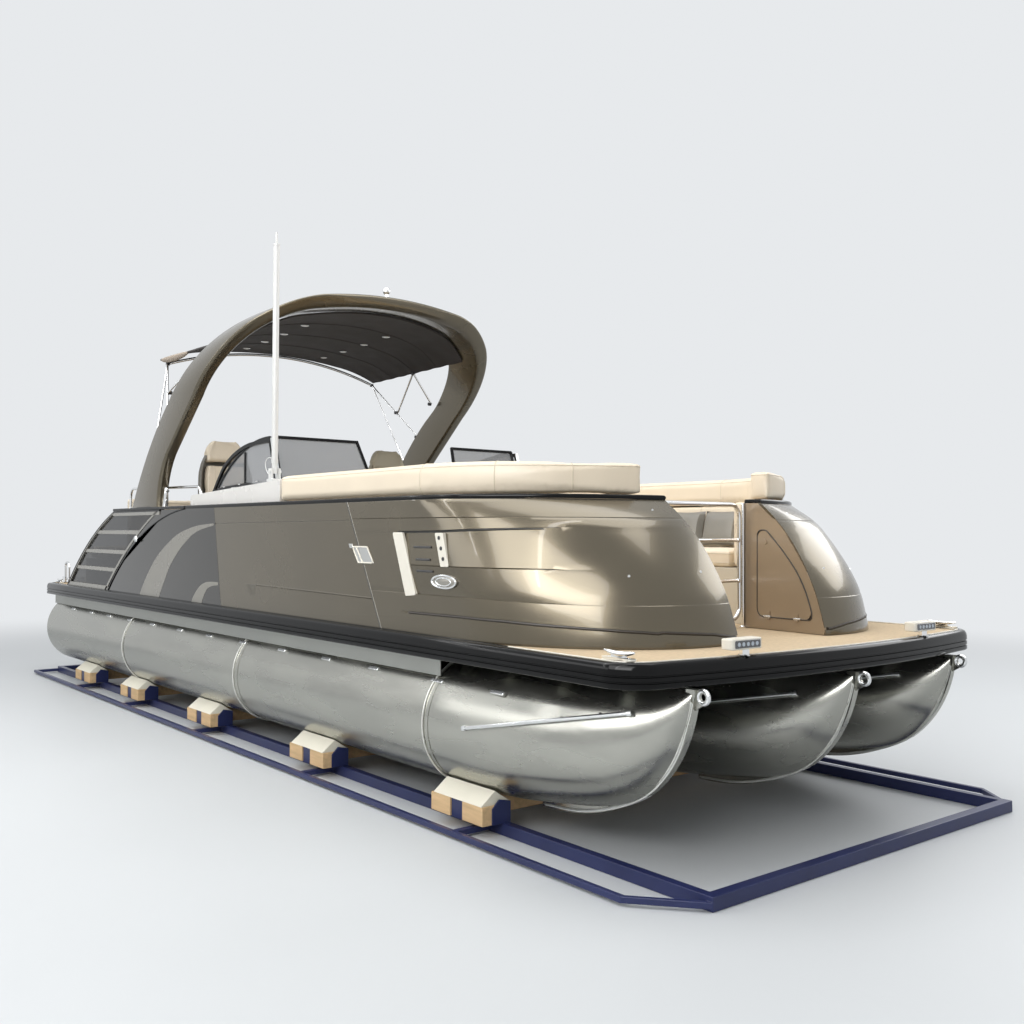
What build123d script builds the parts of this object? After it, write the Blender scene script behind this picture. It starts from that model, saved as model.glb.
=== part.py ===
from build123d import *
import os
from math import atan2, cos, degrees, hypot, radians, sin

# Pontoon boat on its transport cradle, in millimetres.
# Origin on the floor under the middle of the cradle, +X to the bow, +Y to port, +Z up.
# Port pieces are drawn and the starboard ones mirrored, except where the two sides differ.

# Driving dimensions
CRADLE_LENGTH = 9600
HALF_BEAM = 1500
STERN_X = -4650
BOW_X = 4620
TUBE_RADIUS = 368
TUBE_Y = 1128
TUBE_Z = 537
RAIL_LOW = 905
RAIL_TOP = 1024
DECK_TOP = 1020
FENCE_OUT = 1440
FENCE_IN = 1400
FENCE_TOP = 1790
TRIM_TOP = 1814

os.makedirs("parts", exist_ok=True)


def save(node, name):
    """Label a finished piece and write it under its node name."""
    node.part.label = name
    export_step(node.part, f"parts/{name}.step")


def block(low, high):
    """A box between its lowest and highest corners."""
    centre = [(a + b) / 2 for a, b in zip(low, high)]
    size = [b - a for a, b in zip(low, high)]
    with Locations(tuple(centre)):
        Box(*size)


def pipe(radius, bend, *points):
    """A round tube along straight runs, its corners bent to one radius."""
    with BuildLine() as run:
        if len(points) == 2:
            Line(*points)
        else:
            FilletPolyline(*points, radius=bend)
    with BuildSketch(Plane(origin=run.line @ 0, z_dir=run.line % 0)) as ring:
        Circle(radius)
    sweep(ring.sketch, path=run.line)


def across(x):
    """The plane at one station along the boat, its x axis to port and its y axis up."""
    return Plane(origin=(x, 0, 0), x_dir=(0, 1, 0), z_dir=(1, 0, 0))


def upright(y):
    """The fore-and-aft plane at one distance from the middle, its x axis forward and y axis up."""
    return Plane(origin=(0, y, 0), x_dir=(1, 0, 0), z_dir=(0, -1, 0))


# Tubes
# Each is a round aluminium tube with weld rings, ending in a pressed nose with a sharp keel.
RING_X = (2920, 430, -2060)
RING_WIDTH = 14
RING_PROUD = 3
KEEL_BAR = 20
# nose sections: x, top, bottom, half width
NOSE = [
    (2920, 905, 169, 368),
    (3160, 904.4, 170, 366),
    (3400, 903.6, 176, 356),
    (3850, 901.5, 228, 306),
    (4200, 899, 322, 212),
    (4420, 895, 530, 112),
    (4535, 891, 800, 26),
]
# tube: name, distance to port, how far its nose leads, stern end
TUBES = [
    ("starboard_tube", -TUBE_Y, 0, -4560),
    ("centre_tube", 0, 90, -4200),
    ("port_tube", TUBE_Y, 0, -4560),
]
EYE_RADIUS = 38
EYE_HOLE = 17
EYE_THICK = 12
EYE_Z = 862
for name, y, lead, stern in TUBES:
    with BuildPart() as tube:
        with BuildSketch(across(stern)):
            with Locations((y, TUBE_Z)):
                Circle(TUBE_RADIUS)
        extrude(amount=NOSE[0][0] + lead - stern)
        for x in RING_X:
            with BuildSketch(across(x - RING_WIDTH / 2)):
                with Locations((y, TUBE_Z)):
                    Circle(TUBE_RADIUS + RING_PROUD)
            extrude(amount=RING_WIDTH)
        for x, top, bottom, half in NOSE:
            with BuildSketch(across(x + lead)):
                with BuildLine():
                    middle = (top + bottom) / 2
                    ThreePointArc((y, top), (y + half, middle), (y, bottom))
                    ThreePointArc((y, bottom), (y - half, middle), (y, top))
                make_face()
        loft()
        # keel bar round the nose, with the eye plate ahead of the tip
        with BuildSketch(upright(y)):
            with BuildLine():
                ThreePointArc((3500 + lead, 160), (4010 + lead, 240), (4280 + lead, 372))
                ThreePointArc((4280 + lead, 372), (4462 + lead, 585), (4552 + lead, 893))
                Line((4552 + lead, 893), (4500 + lead, 893))
                ThreePointArc((4500 + lead, 893), (4412 + lead, 605), (4240 + lead, 410))
                ThreePointArc((4240 + lead, 410), (3990 + lead, 284), (3500 + lead, 205))
                Line((3500 + lead, 205), (3500 + lead, 160))
            make_face()
        extrude(amount=KEEL_BAR, both=True)
        with BuildSketch(upright(y)):
            with BuildLine():
                Polyline((4530 + lead, 893), (4530 + lead, 790), (4600 + lead, 833), (4600 + lead, 893),
                         close=True)
            make_face()
            with Locations((4588 + lead, EYE_Z)):
                Circle(EYE_RADIUS)
                Circle(EYE_HOLE, mode=Mode.SUBTRACT)
        extrude(amount=EYE_THICK / 2, both=True)
    save(tube, name)

# Side aprons, flat strips that close the gap between each outer tube and the deck rail
APRON_FRONT = 2910
with BuildPart() as side_aprons:
    for side in (-1, 1):
        block((-4600, side * 1397 - 4, 798), (APRON_FRONT, side * 1397 + 4, RAIL_LOW))
save(side_aprons, "side_aprons")

# Cross-members, channels that lie across the tubes and carry the deck
MEMBER_PITCH = 406
MEMBER_COUNT = 22
MEMBER_FIRST = -4345
MEMBER_WALL = 6
FLOOR_LOW = 990
with BuildPart() as cross_members:
    for i in range(MEMBER_COUNT):
        x = MEMBER_FIRST + i * MEMBER_PITCH
        with BuildSketch(upright(1370)):
            with Locations((x, (RAIL_LOW + FLOOR_LOW) / 2)):
                Rectangle(60, FLOOR_LOW - RAIL_LOW)
            with Locations((x + MEMBER_WALL, (RAIL_LOW + FLOOR_LOW) / 2)):
                Rectangle(60, FLOOR_LOW - RAIL_LOW - 2 * MEMBER_WALL, mode=Mode.SUBTRACT)
        extrude(amount=2 * 1370)
save(cross_members, "cross_members")


# Deck floor and the black rail round its edge
def deck_outline():
    """The deck's plan: straight sides, a bowed front and rounded corners."""
    with BuildLine() as outline:
        Polyline((4480, HALF_BEAM), (STERN_X, HALF_BEAM), (STERN_X, -HALF_BEAM), (4480, -HALF_BEAM))
        ThreePointArc((4480, -HALF_BEAM), (BOW_X, 0), (4480, HALF_BEAM))
    make_face(outline.edges())


RAIL_WIDTH = 52
BOW_CORNER = 200
STERN_CORNER = 90
with BuildPart() as deck_rail:
    with BuildSketch(Plane.XY.offset(RAIL_LOW)) as rail_plan:
        deck_outline()
        fillet(rail_plan.vertices().group_by(Axis.X)[-1], BOW_CORNER)
        fillet(rail_plan.vertices().group_by(Axis.X)[0], STERN_CORNER)
        offset(amount=-RAIL_WIDTH, mode=Mode.SUBTRACT)
    extrude(amount=RAIL_TOP - RAIL_LOW)
save(deck_rail, "deck_rail")

with BuildPart() as deck_floor:
    with BuildSketch(Plane.XY.offset(FLOOR_LOW)) as floor_plan:
        deck_outline()
        fillet(floor_plan.vertices().group_by(Axis.X)[-1], BOW_CORNER)
        fillet(floor_plan.vertices().group_by(Axis.X)[0], STERN_CORNER)
        offset(amount=-RAIL_WIDTH, mode=Mode.REPLACE)
    extrude(amount=DECK_TOP - FLOOR_LOW)
save(deck_floor, "deck_floor")

# Transom pod behind the centre tube, with the plate that an outboard engine bolts to
POD_HALF = 300
PLATE_X = -4750
PLATE_THICK = 50
BOLT_RADIUS = 6.75
UPPER_BOLTS = (965, 327.8)
LOWER_BOLTS = (762, 250.8)
with BuildPart() as transom_pod:
    block((PLATE_X + PLATE_THICK, -POD_HALF, 440), (-4200, POD_HALF, 900))
    with Locations(((PLATE_X + PLATE_THICK - 4212) / 2, 0, 670)):
        Box(-4212 - PLATE_X - PLATE_THICK, 2 * POD_HALF - 24, 436, mode=Mode.SUBTRACT)
    block((PLATE_X, -POD_HALF, 440), (PLATE_X + PLATE_THICK, POD_HALF, 1010))
    for height, spread in (UPPER_BOLTS, LOWER_BOLTS):
        with BuildSketch(across(PLATE_X)):
            with Locations((-spread / 2, height), (spread / 2, height)):
                Circle(BOLT_RADIUS)
        extrude(amount=PLATE_THICK, mode=Mode.SUBTRACT)
save(transom_pod, "transom_pod")

# Side panels of the fence
# The slanted front seam meets the bow pod, and the curved aft edge meets the stern wing.
SEAM_FOOT = 2340
SEAM_HEAD = 1920
AFT_FOOT = 0
AFT_HEAD = -150
SEAM_GAP = 4
SEAM_SLOPE = (SEAM_HEAD - SEAM_FOOT) / (FENCE_TOP - RAIL_TOP)
with BuildPart() as port_side_panels:
    with BuildSketch(upright(FENCE_OUT)):
        with BuildLine():
            Polyline((AFT_FOOT, RAIL_TOP), (SEAM_FOOT, RAIL_TOP), (SEAM_HEAD, FENCE_TOP),
                     (AFT_HEAD, FENCE_TOP), close=True)
        make_face()
        with BuildLine():
            ThreePointArc((-2680, RAIL_TOP), (-1810, 1540), (-740, FENCE_TOP))
            Polyline((-740, FENCE_TOP), (AFT_HEAD - SEAM_GAP, FENCE_TOP),
                     (AFT_FOOT - SEAM_GAP, RAIL_TOP), (-2680, RAIL_TOP))
        make_face()
    extrude(amount=FENCE_OUT - FENCE_IN)
save(port_side_panels, "port_side_panels")
with BuildPart() as starboard_side_panels:
    mirror(port_side_panels.part, about=Plane.XZ)
save(starboard_side_panels, "starboard_side_panels")

# Bow pods
# Each is a hollow moulding that carries the fence round the bow corner to the gate.
POD_BACK = 3540
POD_TIP = 4185
GATE_HALF = 440
SPLAY = 56 / 645
POD_SEAM_X = 1700
CORNER_X = 3250
POD_FOOT = 1046
# sections: height, tip x, cheek x, cheek y, x where the side starts to turn, inner skin y, back wall y
POD_SECTIONS = [
    (POD_FOOT, POD_TIP, 3986, 1100, 3200, 1388, 1320),
    (1290, 4101, 3917, 1092, 3114, 1372, 1275),
    (1560, 3936, 3741, 1075, 2946, 1330, 1150),
    (1690, 3814, 3626, 1055, 2830, 1298, 1030),
    (FENCE_TOP, 3694, 3480, 1022, 2698, 1212, 870),
]


def pod_section(tip_x, cheek_x, cheek_y, turn_x, skin_y, back_y):
    """The pod's plan at one height: side, cheek, front, inner face, back wall and inner skin."""
    tip = (tip_x, GATE_HALF - SPLAY * (tip_x - POD_BACK))
    with BuildLine() as outline:
        Line((POD_SEAM_X, FENCE_OUT), (turn_x, FENCE_OUT))
        side = TangentArc((turn_x, FENCE_OUT), (cheek_x, cheek_y), tangent=(1, 0))
        TangentArc((cheek_x, cheek_y), tip, tangent=side % 1)
        Polyline(tip, (POD_BACK, GATE_HALF), (POD_BACK, back_y), (CORNER_X, skin_y), (turn_x, FENCE_IN))
        Polyline((turn_x, FENCE_IN), (POD_SEAM_X, FENCE_IN), (POD_SEAM_X, FENCE_OUT))
    make_face(outline.edges())


FACE_LENGTH = hypot(POD_TIP - POD_BACK, SPLAY * (POD_TIP - POD_BACK))
FACE_ALONG = Vector(POD_TIP - POD_BACK, -SPLAY * (POD_TIP - POD_BACK), 0) / FACE_LENGTH
FACE_OUT = Vector(FACE_ALONG.Y, -FACE_ALONG.X, 0)
INNER_FACE = Plane(origin=(POD_BACK, GATE_HALF, 0), x_dir=FACE_ALONG, z_dir=FACE_OUT)
HATCH_FOOT = 1101
HATCH_AFT = 130
HATCH_GAP = 6
HATCH_CORNER = 45
# hinges on the inner face: places along it, height, distance out from it and knuckle radius
HINGES = (221, 438)
HINGE_Z = 1090
HINGE_OUT = 8
KNUCKLE = 5


def hatch_outline(grow):
    """The hatch on the pod's inner face: straight aft edge and foot, bowed slant, round corners."""
    with BuildLine() as outline:
        Polyline((543, 1150), (543, HATCH_FOOT), (HATCH_AFT, HATCH_FOOT), (HATCH_AFT, 1620), (200, 1620))
        ThreePointArc((200, 1620), (433, 1374), (543, 1150))
    make_face(outline.edges())
    offset(amount=-HATCH_CORNER, mode=Mode.REPLACE)
    offset(amount=HATCH_CORNER + grow, kind=Kind.ARC, mode=Mode.REPLACE)


def knuckle(low, high, leaf_low, leaf_high):
    """One hinge knuckle between two places along the inner face, with its flat leaf."""
    start = INNER_FACE.from_local_coords((low, HINGE_Z, HINGE_OUT))
    with BuildSketch(Plane(origin=start, z_dir=FACE_ALONG)) as ring:
        Circle(KNUCKLE)
    extrude(ring.sketch, amount=high - low)
    with BuildSketch(INNER_FACE) as leaf:
        with Locations(((low + high) / 2, (leaf_low + leaf_high) / 2)):
            Rectangle(high - low, leaf_high - leaf_low)
    extrude(leaf.sketch, amount=HINGE_OUT)


# store sections: height, then tip, front, cheek and back corners
STORE_SECTIONS = [
    (1062, (4125, 438), (4140, 760), (3930, 1060), 1280),
    (1560, (3876, 458), (3890, 760), (3700, 1030), 1120),
    (1740, (3700, 478), (3712, 700), (3610, 900), 930),
]
with BuildPart() as port_bow_pod:
    for z, *plan in POD_SECTIONS:
        with BuildSketch(Plane.XY.offset(z)):
            pod_section(*plan)
    loft()
    # upright foot under the shell
    with BuildSketch(Plane.XY.offset(DECK_TOP)):
        pod_section(*POD_SECTIONS[0][1:])
    extrude(amount=POD_FOOT - DECK_TOP)
    # slanted seam against the side panel
    with BuildSketch(upright(FENCE_OUT + 20)):
        with BuildLine():
            Polyline((1600, 1000), (SEAM_FOOT + SEAM_GAP - 24 * SEAM_SLOPE, 1000),
                     (SEAM_HEAD + SEAM_GAP + 30 * SEAM_SLOPE, 1820), (1600, 1820), close=True)
        make_face()
    extrude(amount=FENCE_OUT - FENCE_IN + 60, mode=Mode.SUBTRACT)
    # storage space inside, and the hatch's opening into it
    for z, tip, front, cheek, back in STORE_SECTIONS:
        with BuildSketch(Plane.XY.offset(z)):
            with BuildLine():
                Polyline((POD_BACK + 30, 485), tip, front, cheek, (POD_BACK + 30, back), close=True)
            make_face()
    loft(ruled=True, mode=Mode.SUBTRACT)
    with BuildSketch(INNER_FACE.offset(10)):
        hatch_outline(HATCH_GAP)
    extrude(amount=-70, mode=Mode.SUBTRACT)
    for along in HINGES:
        for low, high in ((-32, -17), (17, 32)):
            knuckle(along + low, along + high, HINGE_Z - 28, HINGE_Z)
save(port_bow_pod, "port_bow_pod")
with BuildPart() as starboard_bow_pod:
    mirror(port_bow_pod.part, about=Plane.XZ)
save(starboard_bow_pod, "starboard_bow_pod")

LATCH = (190, 1552)
with BuildPart() as port_pod_hatch:
    with BuildSketch(INNER_FACE.offset(2)):
        hatch_outline(0)
    extrude(amount=-18)
    with BuildSketch(INNER_FACE.offset(2)):
        with Locations(LATCH):
            Circle(17)
    extrude(amount=5)
    for along in HINGES:
        knuckle(along - 12, along + 12, HINGE_Z, HINGE_Z + 42)
save(port_pod_hatch, "port_pod_hatch")
with BuildPart() as starboard_pod_hatch:
    mirror(port_pod_hatch.part, about=Plane.XZ)
save(starboard_pod_hatch, "starboard_pod_hatch")

# Black trim along the top of the fence and round the pods to the gate
TRIM_WIDTH = 44
TRIM_HALF = TRIM_WIDTH / 2
with BuildPart() as fence_trim:
    with BuildSketch(Plane.XY.offset(FENCE_TOP)):
        with BuildLine():
            z, tip_x, cheek_x, cheek_y, turn_x, skin_y, back_y = POD_SECTIONS[-1]
            turn = (turn_x, FENCE_OUT - TRIM_HALF)
            cheek = (cheek_x - 17, cheek_y - 14)
            tip = (tip_x - TRIM_HALF, GATE_HALF - SPLAY * (tip_x - POD_BACK) + TRIM_HALF)
            Line((-740, FENCE_OUT - TRIM_HALF), turn)
            side = TangentArc(turn, cheek, tangent=(1, 0))
            TangentArc(cheek, tip, tangent=side % 1)
            Line(tip, (POD_BACK + TRIM_HALF, GATE_HALF + TRIM_HALF))
        trace(line_width=TRIM_WIDTH)
    extrude(amount=TRIM_TOP - FENCE_TOP)
    mirror(about=Plane.XZ)
save(fence_trim, "fence_trim")

# Stern wings: a frame with a curved aft edge, filled with four smoked panes between bars
WING_BARS = (1290, 1440, 1590)
BAR_HEIGHT = 26
WING_EDGE = 42


def wing_outline():
    """The wing's side view, between the side panel's curved edge and its own aft edge."""
    with BuildLine() as outline:
        ThreePointArc((-4020, RAIL_TOP), (-3330, 1470), (-2540, 1786))
        Line((-2540, 1786), (-1330, 1786))
        ThreePointArc((-1330, 1786), (-1890, 1556), (-2745, RAIL_TOP))
        Line((-2745, RAIL_TOP), (-4020, RAIL_TOP))
    make_face(outline.edges())


with BuildPart() as wing_frames:
    with BuildSketch(upright(FENCE_OUT)):
        wing_outline()
        offset(amount=-WING_EDGE, mode=Mode.SUBTRACT)
    extrude(amount=FENCE_OUT - FENCE_IN)
    with BuildSketch(upright(FENCE_OUT - 8)) as bars:
        wing_outline()
        offset(amount=-WING_EDGE, mode=Mode.REPLACE)
        for low, high in zip((1000,) + WING_BARS, WING_BARS + (1800,)):
            with Locations((-2700, (low + high) / 2)):
                Rectangle(3000, high - low - BAR_HEIGHT, mode=Mode.SUBTRACT)
    extrude(amount=24)
    mirror(about=Plane.XZ)
save(wing_frames, "wing_frames")

with BuildPart() as wing_panes:
    with BuildSketch(upright(FENCE_OUT - 17)):
        wing_outline()
        offset(amount=-WING_EDGE, mode=Mode.REPLACE)
        for z in WING_BARS:
            with Locations((-2700, z)):
                Rectangle(3000, BAR_HEIGHT, mode=Mode.SUBTRACT)
    extrude(amount=6)
    mirror(about=Plane.XZ)
save(wing_panes, "wing_panes")

# Gates and the posts that they hang on and close against
GATE_TUBE = 14
GATE_X = 3556
STERN_GATE_X = -2650
# gate: name, x, hinge side y, far side y
GATES = [("bow_gate", GATE_X, 393, -393), ("stern_gate", STERN_GATE_X, 1332, 650)]
for name, x, near, far in GATES:
    with BuildPart() as gate:
        low, high = 1070, 1779
        corner = 80
        pipe(GATE_TUBE, corner, (x, near, 1400), (x, near, high), (x, far, high), (x, far, low),
             (x, near, low), (x, near, 1400.5))
        for z in (1310, 1560):
            pipe(GATE_TUBE - 3, 0, (x, near, z), (x, far, z))
            block((x - 6, near, z - 30), (x + 6, near + 19, z + 30))
    save(gate, name)

POST_REACH = 35
POST_RADIUS = 10
with BuildPart() as gate_posts:
    for name, x, near, far in GATES:
        for y in (near + POST_REACH, far - POST_REACH):
            pipe(POST_RADIUS, 0, (x, y, DECK_TOP), (x, y, 1786))
save(gate_posts, "gate_posts")

# Deck fittings
CLEAT_LENGTH = 200
with BuildPart() as deck_cleats:
    for x, y in ((4322, 1398), (4322, -1398), (-4450, 1398), (-4450, -1398)):
        with BuildSketch(Plane.XY.offset(RAIL_TOP)):
            with Locations((x, y)):
                SlotOverall(CLEAT_LENGTH, 54)
        extrude(amount=12)
        with BuildSketch(Plane.XY.offset(RAIL_TOP + 10)):
            with Locations((x, y)):
                SlotOverall(110, 26)
        extrude(amount=18)
        with BuildSketch(Plane.XY.offset(RAIL_TOP + 26)):
            with Locations((x, y)):
                SlotOverall(CLEAT_LENGTH - 10, 28)
        extrude(amount=12)
save(deck_cleats, "deck_cleats")

LAMP_Y = 790
with BuildPart() as bow_lamps:
    for side in (-1, 1):
        with Locations((4530, side * LAMP_Y, 1081)):
            Box(76, 220, 52)
    fillet(bow_lamps.edges().filter_by(Axis.Z), 16)
    for side in (-1, 1):
        block((4534, side * LAMP_Y - 25, RAIL_TOP), (4558, side * LAMP_Y + 25, 1056))
save(bow_lamps, "bow_lamps")

# Aft grab rails, each on the coaming inboard of the arch's foot
RAIL_TUBE = 12.5
COAMING_TOP = TRIM_TOP
with BuildPart() as aft_coamings:
    for side in (-1, 1):
        block((-2560, side * 1355 - 88, FENCE_TOP), (-757, side * 1355 + 88, COAMING_TOP))
save(aft_coamings, "aft_coamings")

with BuildPart() as grab_rails:
    for side in (-1, 1):
        y = side * 1284
        hoop = [(-2520, y, COAMING_TOP), (-2520, y, 2010), (-790, y, 1980), (-790, y, COAMING_TOP)]
        pipe(RAIL_TUBE, 85, *hoop)
save(grab_rails, "grab_rails")

# Arch
# Its shape is the front view's band cut to the side view's swept outline.
# front view: outer and inner points from foot to crown, distance from the middle and height
ARCH_OUT = [(1414, TRIM_TOP), (1393, 2740), (1353, 3033), (1152, 3313), (930, 3444), (678, 3524), (0, 3583)]
ARCH_IN = [(1314, TRIM_TOP), (1293, 2740), (1258, 2998), (1089, 3235), (893, 3356), (656, 3426), (0, 3483)]
with BuildPart() as arch:
    with BuildSketch(across(-2500)):
        for outline in (ARCH_OUT, ARCH_IN):
            with BuildLine():
                for side in (-1, 1):
                    foot, knee, mid, hip, bend, crown, top = [(side * y, z) for y, z in outline]
                    Line(foot, knee)
                    ThreePointArc(knee, mid, hip)
                    ThreePointArc(hip, bend, crown)
                ThreePointArc(crown, top, (-crown[0], crown[1]))
                Line(foot, (-foot[0], foot[1]))
            make_face(mode=Mode.ADD if outline is ARCH_OUT else Mode.SUBTRACT)
    extrude(amount=3000)
    with BuildSketch(upright(1600)):
        with BuildLine():
            ThreePointArc((-2123, TRIM_TOP), (-1733, 2338), (-1101, 2862))
            ThreePointArc((-1101, 2862), (-653, 3187), (-295, 3408))
            Polyline((-295, 3408), (-150, 3483), (-90, 3583), (-90, 3620), (250, 3620), (233, 3524),
                     (190, 3477), (-1205, 2338))
            ThreePointArc((-1205, 2338), (-1400, 2100), (-1450, TRIM_TOP))
            Line((-1450, TRIM_TOP), (-2123, TRIM_TOP))
        make_face()
    extrude(amount=3200, mode=Mode.INTERSECT)
save(arch, "arch")

with BuildPart() as arch_lamp:
    with Locations((60, 0, 3621)):
        Cylinder(16, 76)
    with Locations((60, 0, 3672)):
        Sphere(34)
save(arch_lamp, "arch_lamp")

# Canopy, a sheet that follows the arch's inner side at the front and flattens to its own bow
CANOPY_THICK = 20
CANOPY_FRONT_RADIUS = 1962
# section: x, then edge, shoulder and hip points and the crown's height
CANOPY = [
    (0, (1075, 3232), (885, 3350), (652, 3418), 3476),
    (-600, (1078, 3232), (885, 3346), (652, 3412), 3466),
    (-2075, (1167, 3230), (962, 3312), (710, 3362), 3415),
]


def canopy_line(edge, shoulder, hip, crown, drop):
    """One side-to-side line of the canopy, lowered by a given drop."""
    edge, shoulder, hip = [(y, z - drop) for y, z in (edge, shoulder, hip)]
    for side in (-1, 1):
        ThreePointArc(*[(side * y, z) for y, z in (edge, shoulder, hip)])
    ThreePointArc((-hip[0], hip[1]), (0, crown - drop), hip)


with BuildPart() as canopy:
    for x, edge, shoulder, hip, crown in CANOPY:
        with BuildSketch(across(x)):
            with BuildLine():
                canopy_line(edge, shoulder, hip, crown, 0)
                canopy_line(edge, shoulder, hip, crown, CANOPY_THICK)
                for side in (-1, 1):
                    Line((side * edge[0], edge[1]), (side * edge[0], edge[1] - CANOPY_THICK))
            make_face()
    loft(ruled=True)
    with BuildSketch(Plane.XY.offset(3000)):
        with Locations((-CANOPY_FRONT_RADIUS, 0)):
            Circle(CANOPY_FRONT_RADIUS)
    extrude(amount=600, mode=Mode.INTERSECT)
save(canopy, "canopy")

# Canopy frame: a bow at the aft edge, and on each side struts to the arch's leg
STRUT = 11
BOW_END = (-2030, 1120, 3185)
# struts for port: start and end points
STRUTS = [
    (BOW_END, (-1446, 1335, 2600)),
    (BOW_END, (-1728, 1345, 2352)),
    ((-1150, 1078, 3206), (-1090, 1258, 2905)),
    ((-1165, 1078, 3206), (-1695, 1240, 2868)),
]
with BuildPart() as canopy_frame:
    with BuildLine() as bow_line:
        ThreePointArc((BOW_END[0], -BOW_END[1], BOW_END[2]), (BOW_END[0], 0, 3376), BOW_END)
    with BuildSketch(Plane(origin=bow_line.line @ 0, z_dir=bow_line.line % 0)):
        Circle(14)
    sweep(path=bow_line.line)
    for start, end in STRUTS:
        pipe(STRUT, 0, start, end)
        pipe(STRUT, 0, (start[0], -start[1], start[2]), (end[0], -end[1], end[2]))
    add(arch.part, mode=Mode.SUBTRACT)
save(canopy_frame, "canopy_frame")

# Bow lounges: bases, seats and back cushions
LOUNGE_IN = 600
SEAT_LOW = 1380
SEAT_TOP = 1500
LOUNGE_AFT = 900
with BuildPart() as lounge_bases:
    for side in (-1, 1):
        block((LOUNGE_AFT, side * 920 - 320, DECK_TOP), (3480, side * 920 + 320, SEAT_LOW))
    block((-3600, -1380, DECK_TOP), (-2570, 560, SEAT_LOW - 60))
save(lounge_bases, "lounge_bases")

with BuildPart() as port_lounge_seat:
    with BuildSketch(Plane.XY.offset(SEAT_LOW)):
        with BuildLine():
            Polyline((LOUNGE_AFT + 10, LOUNGE_IN - 6), (LOUNGE_AFT + 10, 1224), (2630, 1224), (3105, 1138),
                     (3318, 955), (3318, LOUNGE_IN - 6), close=True)
        make_face()
    extrude(amount=SEAT_TOP - SEAT_LOW)
save(port_lounge_seat, "port_lounge_seat")
with BuildPart() as starboard_lounge_seat:
    mirror(port_lounge_seat.part, about=Plane.XZ)
save(starboard_lounge_seat, "starboard_lounge_seat")

BOLSTER_TOP = 1995
with BuildPart() as port_lounge_back:
    with BuildSketch(Plane.XY.offset(SEAT_LOW + 4)):
        with BuildLine():
            Polyline((LOUNGE_AFT + 10, 1236), (LOUNGE_AFT + 10, 1386), (2640, 1386), (3200, 1210),
                     (3445, 955),
                     (3445, 560), (3330, 560), (3330, 960), (3120, 1150), (2640, 1236), close=True)
        make_face()
    extrude(amount=TRIM_TOP - SEAT_LOW - 4)
    with BuildSketch(Plane.XY.offset(TRIM_TOP)):
        with BuildLine():
            Line((LOUNGE_AFT + 10, 1405), (2698, 1405))
            outer = TangentArc((2698, 1405), (3445, 1000), tangent=(1, 0))
            TangentArc((3445, 1000), (3652, 545), tangent=outer % 1)
            Line((3652, 545), (3490, 560))
            ThreePointArc((3490, 560), (3450, 760), (3330, 930))
            ThreePointArc((3330, 930), (3080, 1125), (2700, 1236))
            Polyline((2700, 1236), (LOUNGE_AFT + 10, 1236), (LOUNGE_AFT + 10, 1405))
        make_face()
    extrude(amount=BOLSTER_TOP - TRIM_TOP)
save(port_lounge_back, "port_lounge_back")
with BuildPart() as starboard_lounge_back:
    mirror(port_lounge_back.part, about=Plane.XZ)
save(starboard_lounge_back, "starboard_lounge_back")

with BuildPart() as aft_lounge_seat:
    block((-3590, -1370, SEAT_LOW - 60), (-2760, 550, SEAT_TOP - 60))
    fillet(aft_lounge_seat.edges().filter_by(Axis.Y), 30)
save(aft_lounge_seat, "aft_lounge_seat")
with BuildPart() as aft_lounge_back:
    block((-2750, -1270, SEAT_LOW - 56), (-2580, 550, 1930))
    fillet(aft_lounge_back.edges().filter_by(Axis.Y), 40)
save(aft_lounge_back, "aft_lounge_back")

# Consoles, with a side coaming under the helm's windscreen
CONSOLE_TOP = 1940
# console side view: x, height
CONSOLE = [(450, DECK_TOP), (450, 1910), (440, CONSOLE_TOP), (60, CONSOLE_TOP), (-260, 1760), (-330, 1640),
           (-180, 1520), (-180, DECK_TOP)]
WHEEL_CENTRE = (-390, -850, 1755)
WHEEL_TILT = 30
WHEEL_AXIS = (-cos(radians(WHEEL_TILT)), 0, sin(radians(WHEEL_TILT)))
# side coaming: x, height
COAMING = [(-755, DECK_TOP), (890, DECK_TOP), (890, 1972), (436, 1952), (-735, 1901), (-755, 1870)]
COAMING_IN = 1175
with BuildPart() as helm_console:
    for profile, inner in ((CONSOLE, 335), (COAMING, COAMING_IN)):
        with BuildSketch(upright(-inner)):
            with BuildLine():
                Polyline(*profile, close=True)
            make_face()
        extrude(amount=1390 - inner)
    with BuildSketch(Plane(origin=(-290, -850, 1697), z_dir=WHEEL_AXIS)):
        Circle(34)
    extrude(amount=102)
save(helm_console, "helm_console")
with BuildPart() as companion_console:
    for profile, inner in ((CONSOLE, 470), (COAMING, COAMING_IN)):
        with BuildSketch(upright(1390)):
            with BuildLine():
                Polyline(*profile, close=True)
            make_face()
        extrude(amount=1390 - inner)
save(companion_console, "companion_console")

with BuildPart() as steering_wheel:
    with BuildSketch(Plane(origin=WHEEL_CENTRE, z_dir=WHEEL_AXIS)):
        Circle(36)
        with PolarLocations(0, 3, start_angle=90):
            with Locations((95, 0)):
                Rectangle(190, 22)
    extrude(amount=8, both=True)
    with Locations(Plane(origin=WHEEL_CENTRE, z_dir=WHEEL_AXIS).location):
        Torus(190, 15)
save(steering_wheel, "steering_wheel")

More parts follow.
